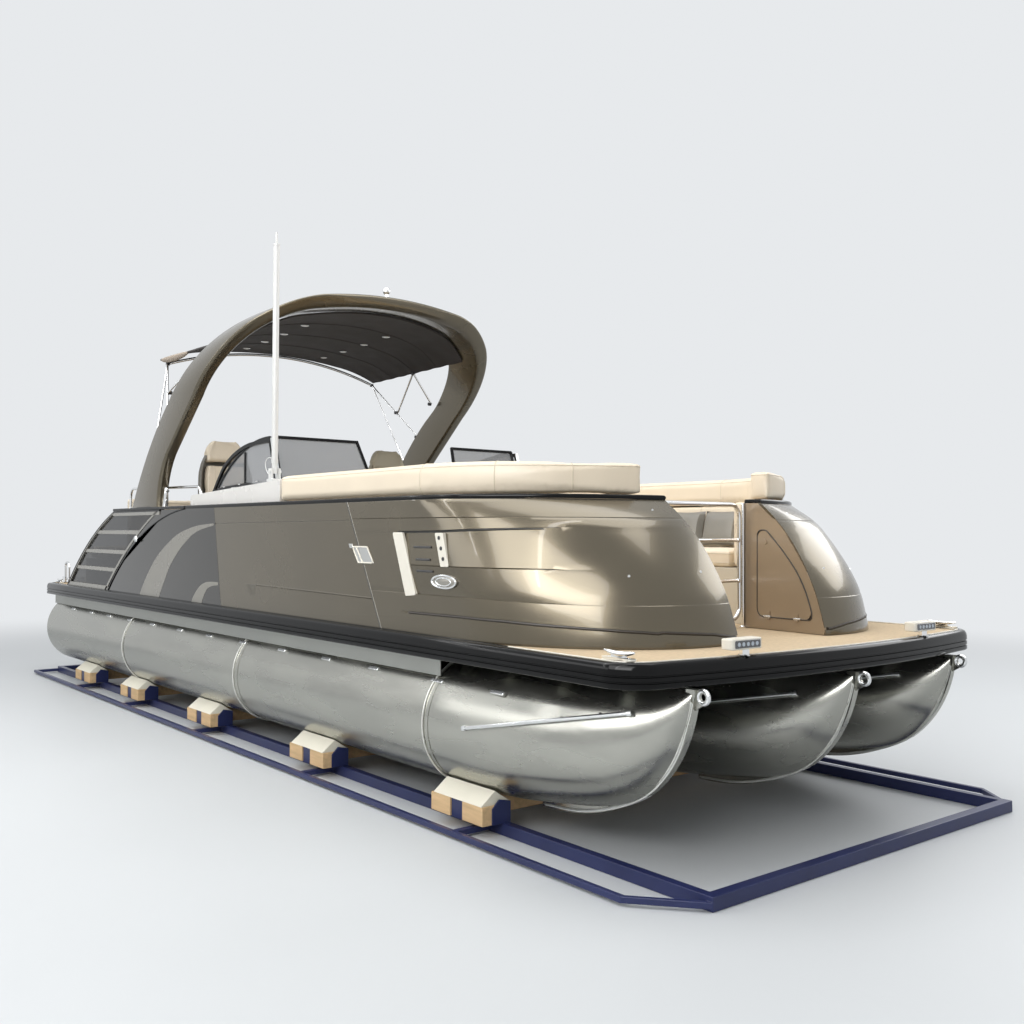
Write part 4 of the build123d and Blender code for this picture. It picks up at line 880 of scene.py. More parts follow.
# slots between them: both ends, height, distance out
SLOTS = ((2.684, 2.857, 1.516, -0.0095), (2.716, 2.858, 1.446, -0.003), (2.727, 2.889, 1.381, -0.002))
BADGE_AT, BADGE_LONG, BADGE_HIGH = (2.996, 1.328), 0.118, 0.036
for side, word in SIDES:
    piece(word + "_pod_shell", pod_shell(side), pewter, stands_for=(word + "_bow_pod",), crisp=24)
    piece(word + "_pod_inner_face", face_panel(side), reflection_tan_gel, crisp=40)
    place = on_face(side)
    gasket = [place(p.x, p.y, 0.001) for p in hatch_line(0.004)]
    piece(word + "_hatch_gasket", tube(gasket, 0.0042, 8, closed=True), bead_rubber)
    # the foot bead lies in its channel, from behind the strip round to the tip
    bead = []
    for i in range(11, 94):
        z = linear(CREASE_X, BEAD_Z, pod_place(i, side)[0])
        px, py, (nx, ny) = pod_outline(z, side)[i]
        bead.append((px - nx * 0.003, py - ny * 0.003, z))
    piece(word + "_pod_bead", tube(bead, 0.0066, 8), bead_rubber)
    # a dark line under the step at the recess's head, thinning as the recess fades: painted shadow
    recess_shadow, recess_shadow_radii = [], []
    for i in range(13, 58):
        x, fade = pod_place(i, side)
        z = linear(CREASE_X, RECESS_Z, x) - 0.0045
        px, py, (nx, ny) = pod_outline(z, side)[i]
        depth = 0.018 * fade - 0.004
        recess_shadow.append((px - nx * depth, py - ny * depth, z))
        recess_shadow_radii.append(0.0015 + 0.0045 * fade)
    piece(word + "_recess_shadow_line", tube(recess_shadow, recess_shadow_radii, 8), sealant_and_shadow_black)
    # liner: the inner skin and back wall, and the cap under the trim
    rows = []
    for z in (DECK, 1.15, 1.29, 1.43, 1.56, 1.69, 1.786):
        turn, corner, back = [hermite(HEADS, v, z) for v in (TURNS, SKINS, BACKS)]
        line = [(pod_end(z), SIDE_IN), (turn, SIDE_IN), (CORNER_X, corner), (BACK_X, back), (BACK_X, JAMB_Y)]
        rows.append([(x, side * y, z) for x, y in line]
                    + [(x + 0.001, side * (y + 0.01), z) for x, y in reversed(line)])
    piece(word + "_pod_liner", skin(rows, wrap=True, capped=True), liner)
    rim = [(x - n[0] * 0.004, y - n[1] * 0.004) for x, y, n in pod_outline(1.787, side)]
    turn, corner, back = TURNS[-1], SKINS[-1], BACKS[-1]
    inside = [(BACK_X, side * JAMB_Y), (BACK_X, side * back), (CORNER_X, side * corner),
              (turn, side * SIDE_IN), (1.926, side * SIDE_IN)]
    piece(word + "_pod_cap", plate(rim + inside, 1.782, 1.7895), reflection_tan_gel)

    def out_from(x, z, out):
        """A point on the pod's flat side, set out from it."""
        return (x, side * (SIDE_OUT + out), z)

    strips = [plate(rounded(BROAD_STRIP, 0.012, 4, closed=True), -0.012, 0.005, out_from),
              plate(rounded(SLIM_STRIP, 0.010, 4, closed=True), -0.020, 0.003, out_from)]
    soften(piece(word + "_pod_strips", joined(strips), cream_trim), 0.0012)
    marks = [tube([out_from(x0, z, out), out_from(x1, z, out)], 0.0065, 8) for x0, x1, z, out in SLOTS]
    marks += [tube([out_from(x, z, 0.0), out_from(x, z, 0.006)], 0.011, 14)
              for x, z in ((2.950, 1.570), (2.970, 1.512), (2.990, 1.454))]
    piece(word + "_pod_screws", joined(marks), dark_plastic)

    def badge_line(share, out):
        """An oval round the badge's middle, as a share of its size."""
        return [out_from(x, z, out) for x, z in oval(48, BADGE_LONG * share, BADGE_HIGH * share, BADGE_AT)]

    rings = [tube(badge_line(share, out), thick, 8, closed=True)
             for share, out, thick in ((0.97, 0.003, 0.0062), (0.60, 0.006, 0.0040))]
    dome = [badge_line(share, out) for share, out in ((1, -0.012), (1, 0.000), (0.9, 0.001), (0.6, 0.005),
                                                      (0.2, 0.008), (0.01, 0.009))]
    piece(word + "_pod_badge", joined(rings), bright_metal)
    piece(word + "_pod_badge_plate", skin(dome, wrap=True), wing_pewter)
    dots = []
    for i, z in ((70, 1.383), (86, 1.727), (88, 1.400)):
        px, py, (nx, ny) = pod_outline(z, side)[i]
        dots.append(tube([(px + nx * out, py + ny * out, z) for out in (-0.002, 0.003)], 0.007, 12))
    piece(word + "_pod_studs", joined(dots), bright_metal)
    # a rubber strip with steel knuckles runs up the inner face by the gate, and two hinges carry the hatch
    strip = plate(corners(0.004, 0.026, 1.050, 1.770), 0.0, 0.004, place)
    soften(piece(word + "_jamb_strip", strip, bead_rubber), 0.0012)
    knuckles = [tube([place(0.015, z, 0.005), place(0.015, z + 0.034, 0.005)], 0.007, 10)
                for z in (1.110, 1.270, 1.430, 1.590, 1.715)]
    knuckles += [tube([place(u, 1.101, 0.006), place(u + 0.050, 1.101, 0.006)], 0.0065, 10)
                 for u in (0.190, 0.420)]
    piece(word + "_jamb_knuckles", joined(knuckles), bright_metal)
# the hatches carry the same painted tan reflection as the inner faces
paint(reflection_tan_gel, "port_pod_hatch", "starboard_pod_hatch", edge=0.0015)

# Fence trim
# A black extrusion caps the fence from the aft panel's curve, round both pods, to the gate.
# Its outer lip is rounded and a shallow groove runs along its top.
TRIM_HALF = 0.022
# the trim's section: distance from its middle line, height
TRIM_SECTION = ((-0.022, 1.790), (-0.022, 1.808), (-0.018, 1.814), (-0.004, 1.814), (-0.002, 1.812),
                (0.002, 1.812), (0.004, 1.814), (0.015, 1.814), (0.021, 1.8105), (0.024, 1.803),
                (0.024, 1.795), (0.021, 1.788))
for side, word in SIDES:
    tip_x, cheek_x, cheek_y, turn_x = TIPS[-1], CHEEKS_X[-1] - 0.017, CHEEKS_Y[-1] - 0.014, TURNS[-1]
    line_y = SIDE_OUT - TRIM_HALF
    line = [(-0.740 + (turn_x + 0.740) * k / 40, line_y, 0.0) for k in range(40)]
    bend = arc((turn_x, line_y), (cheek_x, cheek_y), 0, 24)
    end = (tip_x - TRIM_HALF, JAMB_Y - SPLAY * (tip_x - BACK_X) + TRIM_HALF)
    line += bend[:-1] + arc((cheek_x, cheek_y), end, bend[-1][2], 16)
    line += [(BACK_X + TRIM_HALF, JAMB_Y + TRIM_HALF, -pi)]
    rows = []
    for x, y, a in line[:-1]:
        rows.append([(x - sin(a) * d, side * (y + cos(a) * d), z) for d, z in TRIM_SECTION])
    # the corner at the gate and the short run back along it
    corner, last = Vector(line[-2][:2]), Vector(line[-1][:2])
    back = (last - corner).normalized()
    before, after = Vector((-sin(line[-2][2]), cos(line[-2][2]))), Vector((-back.y, back.x))
    mitre = (before + after) / (1 + before.dot(after))
    rows[-1] = [(corner.x + mitre.x * d, side * (corner.y + mitre.y * d), z) for d, z in TRIM_SECTION]
    rows.append([(last.x + after.x * d, side * (last.y + after.y * d), z) for d, z in TRIM_SECTION])
    piece(word + "_fence_trim", skin(rows, wrap=True, capped=True), black_gloss,
          stands_for=("fence_trim",) if side > 0 else (), crisp=40)
    # the same bead carries on down the aft panel's curve
    fall = [(aft_edge(z) + 0.006, side * 1.4435, z) for z in heights(1.040, 1.788, 50)]
    piece(word + "_curve_bead", tube(fall, 0.0055, 8), black_gloss)

# Gates
# Both are loops of bent stainless tube with two cross rails, hung on clamped hinge posts.
# Round weld collars and rubber stops sit where the rails meet the loop and the posts meet the deck.
stainless = surface("polished stainless", (0.80, 0.80, 0.80), rough=0.10, metal=1.0, vary=0.03,
                    rough_vary=0.03)
paint(stainless, "bow_gate", "stern_gate", "gate_posts")


def post(x, y, levels, radii, sides):
    """An upright round part: its levels, and one radius or one for each level."""
    return tube([(x, y, z) for z in levels], radii, sides)


# gate: name, body, its place along the boat, hinge side and far side
for name, body, x, near, far in (("bow", "bow_gate_leaf", 3.556, 0.393, -0.393),
                                 ("stern", "stern_gate_leaf", -2.650, 1.332, 0.650)):
    collars, feet = [], []
    for y, inward in ((near, -1), (far, 1)):
        for z in (1.310, 1.560):
            ring = [(x, y + inward * 0.010, z), (x, y + inward * 0.022, z)]
            collars.append(tube(ring, [0.0165, 0.0125], 12))
    piece(name + "_gate_collars", joined(collars), stainless, body)
    for y in (near + 0.035, far - 0.035):
        feet += [post(x, y, (1.020, 1.026), 0.026, 20), post(x, y, (1.026, 1.034), (0.016, 0.0115), 20),
                 post(x, y, (1.784, 1.790), (0.0125, 0.009), 16)]
    piece(name + "_post_feet", joined(feet), stainless)
    if name == "stern":
        slats = [brick(x - 0.004, x + 0.004, y, y + 0.016, 1.084, 1.766) for y in (far + 0.20, near - 0.216)]
        soften(piece("stern_gate_slats", joined(slats), stainless, body), 0.0015)

# Deck fittings
# Pop-up cleats sit on cream pads at the corners, each a polished horn over a short neck.
# The bow lamps are cream housings with a clear dark lens, on small chrome feet.
white_plastic = surface("white plastic", (0.70, 0.70, 0.68), rough=0.35, vary=0.02)
lamp_lens = surface("dark lens", (0.03, 0.033, 0.04), rough=0.06, vary=0.1, coat=1.0, rough_vary=0.02)
lamp_face = surface("pale lamp face", (0.50, 0.56, 0.62), rough=0.2, vary=0.05, coat=0.5)


def slot_line(x, y, half, radius):
    """The points of two round ends, long along the boat; both ends run from the port side."""
    return [(x + way * (half - radius) + radius * cos(a), y + radius * sin(a))
            for way in (1, -1) for a in [pi / 2 - way * pi * k / 10 for k in range(11)]]


# a cleat's horn: distance from its middle, height
HORN = ((-0.096, 1.064), (-0.070, 1.060), (-0.030, 1.055), (0, 1.054), (0.030, 1.055), (0.070, 1.060),
        (0.096, 1.064))
pads, horns = [], []
for x in (4.322, -4.450):
    for y in (1.398, -1.398):
        pads.append(plate(slot_line(x, y, 0.100, 0.027), 1.024, 1.036))
        horns.append(plate(slot_line(x, y, 0.050, 0.011), 1.034, 1.054))
        bar = smooth_line([(x + dx, y, z) for dx, z in HORN], 4)
        horns.append(tube(bar, [0.0055 + 0.0085 * sin(pi * k / 24) for k in range(25)], 14))
        horns += [post(x + dx, y, (1.034, 1.0385), (0.008, 0.005), 12) for dx in (-0.066, 0.066)]
soften(piece("cleat_pads", joined(pads), cream_trim, stands_for=("deck_cleats",)), 0.003, 3)
piece("cleat_horns", joined(horns), stainless, crisp=50)
housings, lenses, faces, feet = [], [], [], []
for y in (-0.790, 0.790):
    housings.append(plate(rounded(corners(4.492, 4.568, y - 0.110, y + 0.110), 0.018, 5, True), 1.055, 1.107))
    window = rounded(corners(y - 0.094, y + 0.094, 1.062, 1.099), 0.008, 4, True)
    lenses.append(plate(window, 4.560, 4.5695, place_yzx))
    for k in range(5):
        faces.append(plate(oval(20, 0.010, at=(y - 0.066 + 0.033 * k, 1.0805)), 4.568, 4.5705, place_yzx))
    feet.append(brick(4.534, 4.558, y - 0.025, y + 0.025, 1.024, 1.056))
    feet.append(plate(slot_line(4.546, y, 0.034, 0.016), 1.0235, 1.029))
soften(piece("bow_lamp_housings", joined(housings), cream_trim, stands_for=("bow_lamps",)), 0.006, 3)
soften(piece("bow_lamp_lenses", joined(lenses), lamp_lens), 0.002)
piece("bow_lamp_faces", joined(faces), lamp_face)
soften(piece("bow_lamp_feet", joined(feet), stainless), 0.003)

# Aft coamings and grab rails
# A black coaming caps each side inboard of the wing, and a bent stainless rail stands on it.
# Each rail's feet are round flanges with set screws.
paint(black_gloss, "aft_coamings", edge=0.006)
paint(stainless, "grab_rails")
flanges = []
for y in (-1.284, 1.284):
    for x in (-2.520, -0.790):
        flanges += [post(x, y, (1.814, 1.820), 0.028, 24), post(x, y, (1.820, 1.832), (0.019, 0.0145), 24)]
piece("grab_rail_flanges", joined(flanges), stainless)

# Arch
# One moulded hoop sweeps up and forward from the sides, its edges rounded like a wing's.
# It is pewter gelcoat over glass fibre; a chrome clamp holds each foot and a lamp stands on its crown.
ARCH_TURN = 0.032
# front view, outer and inner lines: distance from the middle, height
ARCH_OUT = ((1.414, 1.814), (1.393, 2.740), (1.353, 3.033), (1.152, 3.313), (0.930, 3.444), (0.678, 3.524),
            (0.0, 3.583))
ARCH_IN = ((1.314, 1.814), (1.293, 2.740), (1.258, 2.998), (1.089, 3.235), (0.893, 3.356), (0.656, 3.426),
           (0.0, 3.483))


def circle_points(circle, start, end, count):
    """Points round a circle between two angles, the last left out."""
    x, y, radius = circle
    angles = [start + (end - start) * k / count for k in range(count)]
    return [(x + radius * cos(a), y + radius * sin(a)) for a in angles]


def angle_on(circle, point):
    """The angle at which a point lies from a circle's middle."""
    return atan2(point[1] - circle[1], point[0] - circle[0])


def hoop_line(points):
    """One line of the hoop's front view, foot to crown to foot."""
    foot, knee, mid, hip, shoulder, crown, top = points
    found = [(foot[0] + (knee[0] - foot[0]) * k / 14, foot[1] + (knee[1] - foot[1]) * k / 14)
             for k in range(14)]
    for a, b, c, count in ((knee, mid, hip, 16), (hip, shoulder, crown, 14),
                           (crown, top, (-crown[0], crown[1]), 36)):
        circle = arc_through(a, b, c)
        found += circle_points(circle, angle_on(circle, a), angle_on(circle, c), count)
    return found + [(-x, y) for x, y in reversed(found[:-35])]


sweep_low = arc_through((-2.123, 1.814), (-1.733, 2.338), (-1.101, 2.862))
sweep_high = arc_through((-1.101, 2.862), (-0.653, 3.187), (-0.295, 3.408))
front_low = arc_through((-1.205, 2.338), (-1.400, 2.100), (-1.450, 1.814))


def hoop_aft(z):
    """The hoop's aft edge at one height."""
    if z < 2.862:
        return on_arc(sweep_low, z)
    if z < 3.408:
        return on_arc(sweep_high, z)
    return linear((3.408, 3.483, 3.583), (-0.295, -0.150, -0.090), z)


def hoop_fore(z):
    """The hoop's front edge at one height."""
    if z < 2.338:
        return on_arc(front_low, z)
    return linear((2.338, 3.477, 3.524, 3.620), (-1.205, 0.190, 0.233, 0.250), z)


outer_line, inner_line = hoop_line(ARCH_OUT), hoop_line(ARCH_IN)
rows = []
for (oy, oz), (iy, iz) in zip(outer_line, inner_line):
    thick = hypot(oy - iy, oz - iz)
    row = []
    # round the section: each corner's turn in thickness and length, then the next side
    for w_end, l_end, quarter in ((0, 0, 2), (0, 1, 3), (1, 1, 0), (1, 0, 1)):
        for k in range(7):
            a = (pi / 2) * (quarter + k / 6)
            w = (ARCH_TURN if w_end == 0 else thick - ARCH_TURN) + ARCH_TURN * sin(a)
            y, z = iy + (oy - iy) * w / thick, iz + (oz - iz) * w / thick
            inset = ARCH_TURN * (1 - abs(cos(a)))
            x = hoop_aft(z) + inset if l_end == 0 else hoop_fore(z) - inset
            row.append((x, y, z))
    rows.append(row)
piece("arch_hoop", skin(rows, wrap=True, capped=True), pewter, stands_for=("arch",), crisp=50)
CLAMP = ((-1.455, 1.816), (-1.440, 1.87), (-1.428, 1.93), (-1.424, 1.985))
clamps, sockets = [], []
for side in (-1, 1):
    y = side * 1.345
    stem = smooth_line([(x, y, z) for x, z in CLAMP], 5)
    clamps.append(tube(stem, [0.030 - 0.001 * k for k in range(16)], 14))
    clamps.append(tube([(-1.410, y, 1.955), (-1.386, y, 1.955)], 0.013, 12))
    clamps.append(tube([(-1.430, y, 1.870), (-1.400, y, 1.870)], 0.012, 12))
    # a dark seal round the hoop's foot
    start, end = hoop_aft(1.8145) - 0.004, hoop_fore(1.8145) + 0.004
    foot = oval(32, (start - end) / 2, side * 0.055, at=((start + end) / 2, side * 1.364))
    sockets.append(tube([(x, y, 1.816) for x, y in foot], 0.005, 6, closed=True))
piece("arch_clamps", joined(clamps), stainless)
piece("arch_sockets", joined(sockets), sealant_and_shadow_black)
paint(stainless, "arch_lamp")
glow = [[(x, y, z) for x, y in oval(24, radius, at=(0.060, 0))]
        for z, radius in ((3.640, 0.0165), (3.650, 0.022))]
piece("arch_lamp_band", skin(glow, wrap=True), white_plastic)

# Canopy
# A brown acrylic canvas stretched from the arch to a bow of its own, its front edge cut to a curve.
# Bound hems close its edges, seams cross it, and eight white puck lights are set into its underside.
CANVAS_THICK, CANVAS_AFT, FRONT_CUT = 0.005, -2.075, 1.962
# section: place along the boat; edge, shoulder and hip as distance out and height; the crown's height
CANOPY = ((0.0, (1.075, 3.232), (0.885, 3.350), (0.652, 3.418), 3.476),
          (-0.600, (1.078, 3.232), (0.885, 3.346), (0.652, 3.412), 3.466),
          (CANVAS_AFT, (1.167, 3.230), (0.962, 3.312), (0.710, 3.362), 3.415))


def canvas_line(section):
    """Points across one section of the canopy, starboard edge to port edge."""
    rim_at, shoulder, hip, crown = section[1:]
    side_arc, top_arc = arc_through(rim_at, shoulder, hip), arc_through(hip, (0.0, crown), (-hip[0], hip[1]))
    found = circle_points(side_arc, angle_on(side_arc, rim_at), angle_on(side_arc, hip), 12)
    start = angle_on(top_arc, hip)
    over = circle_points(top_arc, start, pi - start, 28) + [(-hip[0], hip[1])]
    return found + over + [(-y, z) for y, z in reversed(found)]


sections = [canvas_line(s) for s in CANOPY]
places = [s[0] for s in reversed(CANOPY)]
rows = []
for i, middle_point in enumerate(sections[1]):
    front = sqrt(FRONT_CUT ** 2 - middle_point[0] ** 2) - FRONT_CUT
    row = []
    for k in range(49):
        x = front + (CANVAS_AFT - front) * k / 48
        y, z = [linear(places, [s[i][n] for s in reversed(sections)], x) for n in (0, 1)]
        # the canvas sinks a little between the arch and the bow, and ripples near its aft corners
        sag = 0.010 * sin(pi * min(1, max(0, (-0.45 - x) / 1.5))) * (1 - (y / 1.2) ** 2)
        ripple = 0.0025 * sin(x * 26 + y * 9) * min(1, abs(y) / 1.1) ** 3
        row.append((x, y, z - 0.006 - sag + ripple))
    rows.append(row)
under = [[(x, y, z - CANVAS_THICK) for x, y, z in row] for row in rows]
closed = [list(a) + list(reversed(b)) for a, b in zip(rows, under)]
canvas_brown = surface("brown canvas", (0.022, 0.017, 0.015), rough=0.85, vary=0.10, scale=8, bump=0.5,
                       bump_scale=700, sheen=0.05)
tan_canvas = surface("tan canvas", (0.36, 0.30, 0.24), rough=0.8, vary=0.08, bump=0.4, bump_scale=500)
canvas = piece("canopy_canvas", skin(closed, wrap=True, capped=True), canvas_brown, stands_for=("canopy",),
               crisp=60)
hem_lines = (([row[0] for row in rows], 0.0075), ([row[-1] for row in rows], 0.010), (rows[0], 0.0075),
             (rows[-1], 0.0075))
hems = piece("canopy_hems", joined([tube(line, radius, 8) for line, radius in hem_lines]), canvas_brown)
seams = []
for k in (12, 24, 36):
    for lift in (-CANVAS_THICK - 0.001, 0.001):
        seams.append(tube([(row[k][0], row[k][1], row[k][2] + lift) for row in rows], 0.0025, 6))
canopy_seams = piece("canopy_seams", joined(seams), canvas_brown)
roll = smooth_line([(-2.070, -1.160, 3.222), (-1.99, -1.156, 3.214), (-1.80, -1.148, 3.208),
                    (-1.62, -1.138, 3.214), (-1.50, -1.130, 3.224)], 8)
tip = piece("canopy_rolled_tip", tube(roll, [0.010 + 0.020 * sin(pi * k / 32) for k in range(33)], 14),
            tan_canvas)
pucks, rims = [], []
for y in (-0.42, 0.42):
    line = min(under, key=lambda row: abs(row[24][1] - y))
    for x in (-0.62, -1.02, -1.42, -1.82):
        z = min(line, key=lambda p: abs(p[0] - x))[2]
        pucks.append(post(x, y, (z + 0.001, z - 0.009), (0.030, 0.027), 24))
        rims.append(post(x, y, (z + 0.002, z - 0.005), 0.036, 24))
puck_lights = piece("canopy_lights", joined(pucks), white_plastic)
puck_rims = piece("canopy_light_rims", joined(rims), stainless)
paint(stainless, "canopy_frame")
flat_width = sum(hypot(a[0] - b[0], a[1] - b[1]) for a, b in zip(sections[1], sections[1][1:]))
for a, b in zip(rows, rows[1:]):
    for p, q, r, s in zip(a, a[1:], b[1:], b):
        one, two = Vector(q) - Vector(p), Vector(s) - Vector(p)
        three, four = Vector(s) - Vector(r), Vector(q) - Vector(r)
# clamp joints where the struts meet the bow and the hoop
joints = []
for side in (-1, 1):
    for x, y, z in ((-2.030, 1.120, 3.185), (-1.446, 1.313, 2.600), (-1.728, 1.323, 2.352),
                    (-1.155, 1.078, 3.206), (-1.090, 1.236, 2.905), (-1.695, 1.218, 2.868)):
        joints.append(tube([(x, side * (y - 0.016), z), (x, side * (y + 0.012), z)], 0.017, 16))
piece("canopy_frame_joints", joined(joints), dark_plastic)

# Bow lounges
# Along each side a moulded base carries a long foam seat, a back pad and a fat head bolster
# that follows the fence round the bow corner, all in stitched and piped ivory vinyl.
SEAT_LOW, SEAT_TOP, LOUNGE_AFT, BOLSTER_TOP = 1.380, 1.500, 0.910, 1.995


def applied(thing):
    """Keep a piece's shape as its modifiers leave it, and take them off."""
    settled = bpy.data.meshes.new_from_object(thing.evaluated_get(bpy.context.evaluated_depsgraph_get()))
    thing.modifiers.clear()
    thing.data = settled


def stuffed(name, shape, finish, voxel, cap, body="boat", stands_for=(), soft=4):
    """A foam pad: its shape is remeshed, its edges eased, and it is swollen from inside as cloth."""
    pad = piece(name, shape, finish, body, stands_for)
    even = pad.modifiers.new("even mesh", "REMESH")
    even.mode = "VOXEL"
    even.voxel_size = voxel
    ease = pad.modifiers.new("eased edges", "SMOOTH")
    ease.factor = 0.5
    ease.iterations = soft
    applied(pad)
    cover = pad.modifiers.new("stuffing", "CLOTH").settings
    cover.quality = 4
    cover.mass = 0.3
    cover.tension_stiffness = cover.compression_stiffness = 15
    cover.shear_stiffness = 5
    cover.bending_stiffness = 0.5
    cover.use_pressure = True
    cover.uniform_pressure_force = 4
    cover.effector_weights.gravity = 0
    for step in range(1, 21):
        scene.frame_set(step)
    swollen = pad.evaluated_get(bpy.context.evaluated_depsgraph_get()).data
    moved = [v.co.copy() for v in swollen.vertices]
    pad.modifiers.clear()
    scene.frame_set(1)
    # no point moves further than the cap
    for vertex, after in zip(pad.data.vertices, moved):
        shift = after - vertex.co
        if shift.length > cap:
            shift = shift * (cap / shift.length)
        vertex.co += shift
    finer = pad.modifiers.new("finer", "SUBSURF")
    finer.levels = finer.render_levels = 1
    applied(pad)
    pad.data.materials.clear()
    pad.data.materials.append(finish)
    pad.data.shade_smooth()
    return pad


def cut_loops(pad, at, normal):
    """The closed lines where a plane cuts a pad, each a list of points in order."""
    cut = bmesh.new()
    cut.from_mesh(pad.data)
    made = bmesh.ops.bisect_plane(cut, geom=cut.verts[:] + cut.edges[:] + cut.faces[:], plane_co=at,
                                  plane_no=normal)
    edges = [g for g in made["geom_cut"] if isinstance(g, bmesh.types.BMEdge)]
    links = {}
    for e in edges:
        for v, other in ((e.verts[0], e.verts[1]), (e.verts[1], e.verts[0])):
            links.setdefault(v, []).append(other)
    loops, left = [], set(links)
    while left:
        here = min(left, key=lambda v: (round(v.co.x, 5), round(v.co.y, 5), round(v.co.z, 5)))
        left.discard(here)
        line = [here]
        while True:
            onward = [v for v in links[here] if v in left]
            if not onward:
                break
            here = onward[0]
            left.discard(here)
            line.append(here)
        if len(line) > 5:
            loops.append([v.co.copy() for v in line])
    cut.free()
    return loops


def piping(name, pad, cuts, finish, body="boat", radius=0.0035, clip=None):
    """Piped seams round a pad where planes cut it."""
    loops = [loop for at, normal in cuts for loop in cut_loops(pad, at, normal) if not clip or clip(loop[0])]
    return piece(name, joined([tube(loop, radius, 6, closed=True) for loop in loops]), finish, body)


def mirrored(outline, side):
    """A port outline, turned over for starboard."""
    return [(x, side * y) for x, y in outline]


ivory_vinyl = surface("ivory vinyl", (0.82, 0.71, 0.55), rough=0.46, vary=0.03, scale=5, bump=0.12,
                      bump_scale=420)
ivory_piping = surface("ivory piping", (0.68, 0.59, 0.45), rough=0.5, vary=0.04, bump=0.1, bump_scale=500)
grey_vinyl = surface("grey vinyl", (0.20, 0.19, 0.165), rough=0.5, vary=0.05, bump=0.12, bump_scale=420)
paint(liner, "lounge_bases", edge=0.012)
PAD_AFT = LOUNGE_AFT + 0.006
# pads' plans on the port side
SEAT_PLAN = ((PAD_AFT, 0.600), (3.312, 0.600), (3.312, 0.950), (3.100, 1.128), (2.628, 1.214),
             (PAD_AFT, 1.214))
BACK_PLAN = ((PAD_AFT, 1.246), (2.644, 1.246), (3.126, 1.160), (3.340, 0.964), (3.340, 0.570), (3.436, 0.570),
             (3.436, 0.950), (3.194, 1.202), (2.640, 1.378), (PAD_AFT, 1.378))
BOLSTER_INNER = ((3.496, 0.564, 0), (3.456, 0.762, 0), (3.335, 0.936, 0), (3.084, 1.131, 0),
                 (2.700, 1.242, 0))
# the bolster's outer line follows the fence's curves, and its inner line stands clear of the back pad
outer_bend = arc((2.698, 1.399), (3.440, 0.998), 0, 20)
front_bend = arc((3.440, 0.998), (3.644, 0.552), outer_bend[-1][2], 12)
bolster_plan = [(PAD_AFT, 1.399)] + [(x, y) for x, y, a in outer_bend[:-1] + front_bend]
bolster_plan += [(p.x, p.y) for p in smooth_line(BOLSTER_INNER, 6)] + [(PAD_AFT, 1.242)]
for side, word in SIDES:
    seat_pad = stuffed(word + "_lounge_seat_pad",
                       plate(mirrored(SEAT_PLAN, side), SEAT_LOW + 0.004, SEAT_TOP - 0.006),
                       ivory_vinyl, 0.024, 0.010, stands_for=(word + "_lounge_seat",))
    cuts = [((x, 0, 0), (1, 0, 0)) for x in (1.71, 2.51)]
    cuts += [((0, 0, z), (0, 0, 1)) for z in (SEAT_TOP - 0.030, SEAT_LOW + 0.030)]
    piping(word + "_lounge_seat_piping", seat_pad, cuts, ivory_piping)
    back_pad = stuffed(word + "_lounge_back_pad", plate(mirrored(BACK_PLAN, side), SEAT_LOW + 0.010, 1.806),
                       ivory_vinyl, 0.024, 0.008)
    cuts = [((x, 0, 0), (1, 0, 0)) for x in (1.31, 1.71, 2.11, 2.51)] + [((0, 0, 1.66), (0, 0, 1))]
    piping(word + "_lounge_back_piping", back_pad, cuts, ivory_piping)
    bolster_pad = stuffed(word + "_lounge_bolster",
                          plate(mirrored(bolster_plan, side), 1.818, BOLSTER_TOP - 0.005),
                          ivory_vinyl, 0.015, 0.007, stands_for=(word + "_lounge_back",), soft=3)
    cuts = [((2.700, 0, 0), (1, 0, 0))]
    cuts += [((x, side * y, 0), (cos(a), side * sin(a), 0)) for x, y, a in (outer_bend[12], front_bend[2])]
    piping(word + "_bolster_piping", bolster_pad, cuts, ivory_piping, radius=0.003, clip=lambda p: p.x > 2.6)
    piping(word + "_bolster_welt", bolster_pad, [((0, 0, BOLSTER_TOP - 0.024), (0, 0, 1))], ivory_piping,
           radius=0.003)
# two grey scatter cushions lean on the port lounge's back
for k, (x, tip_back) in enumerate(((2.45, 0.20), (2.80, 0.24))):
    faces = []
    for bulge_way in (-1, 1):
        rows = []
        for u in [i / 6 - 1 for i in range(13)]:
            row = []
            for v in [j / 6 - 1 for j in range(13)]:
                long, high = u * 0.165 * (1 - 0.06 * (1 - v * v)), v * 0.125 * (1 - 0.06 * (1 - u * u))
                bulge = 0.062 * ((1 - u ** 4) * (1 - v ** 4)) ** 0.5
                row.append((x + long, 1.150 - 0.02 * k + bulge_way * bulge + high * tip_back, 1.640 + high))
            rows.append(row)
        faces.append(skin(rows))
    scatter = piece("scatter_cushion_%d" % (k + 1), joined(faces), grey_vinyl)

# Aft lounge
# A bench across the stern in the same ivory vinyl over foam, with its back toward the helm.
# Two piped seams divide seat and back in three, and piping follows the upper edge of each.
# pad: name, its six faces, height of the edge piping
for name, box, piping_z in (("seat", (-3.582, -2.768, -1.362, 0.542, 1.326, 1.434), 1.404),
                            ("back", (-2.742, -2.588, -1.262, 0.542, 1.332, 1.922), 1.880)):
    pad = stuffed("aft_lounge_%s_pad" % name, brick(*box), ivory_vinyl, 0.022, 0.012,
                  stands_for=("aft_lounge_" + name,))
    cuts = [((0, box[2] + (box[3] - box[2]) * k / 3, 0), (0, 1, 0)) for k in (1, 2)]
    piping("aft_lounge_%s_piping" % name, pad, cuts + [((0, 0, piping_z), (0, 0, 1))], ivory_piping)

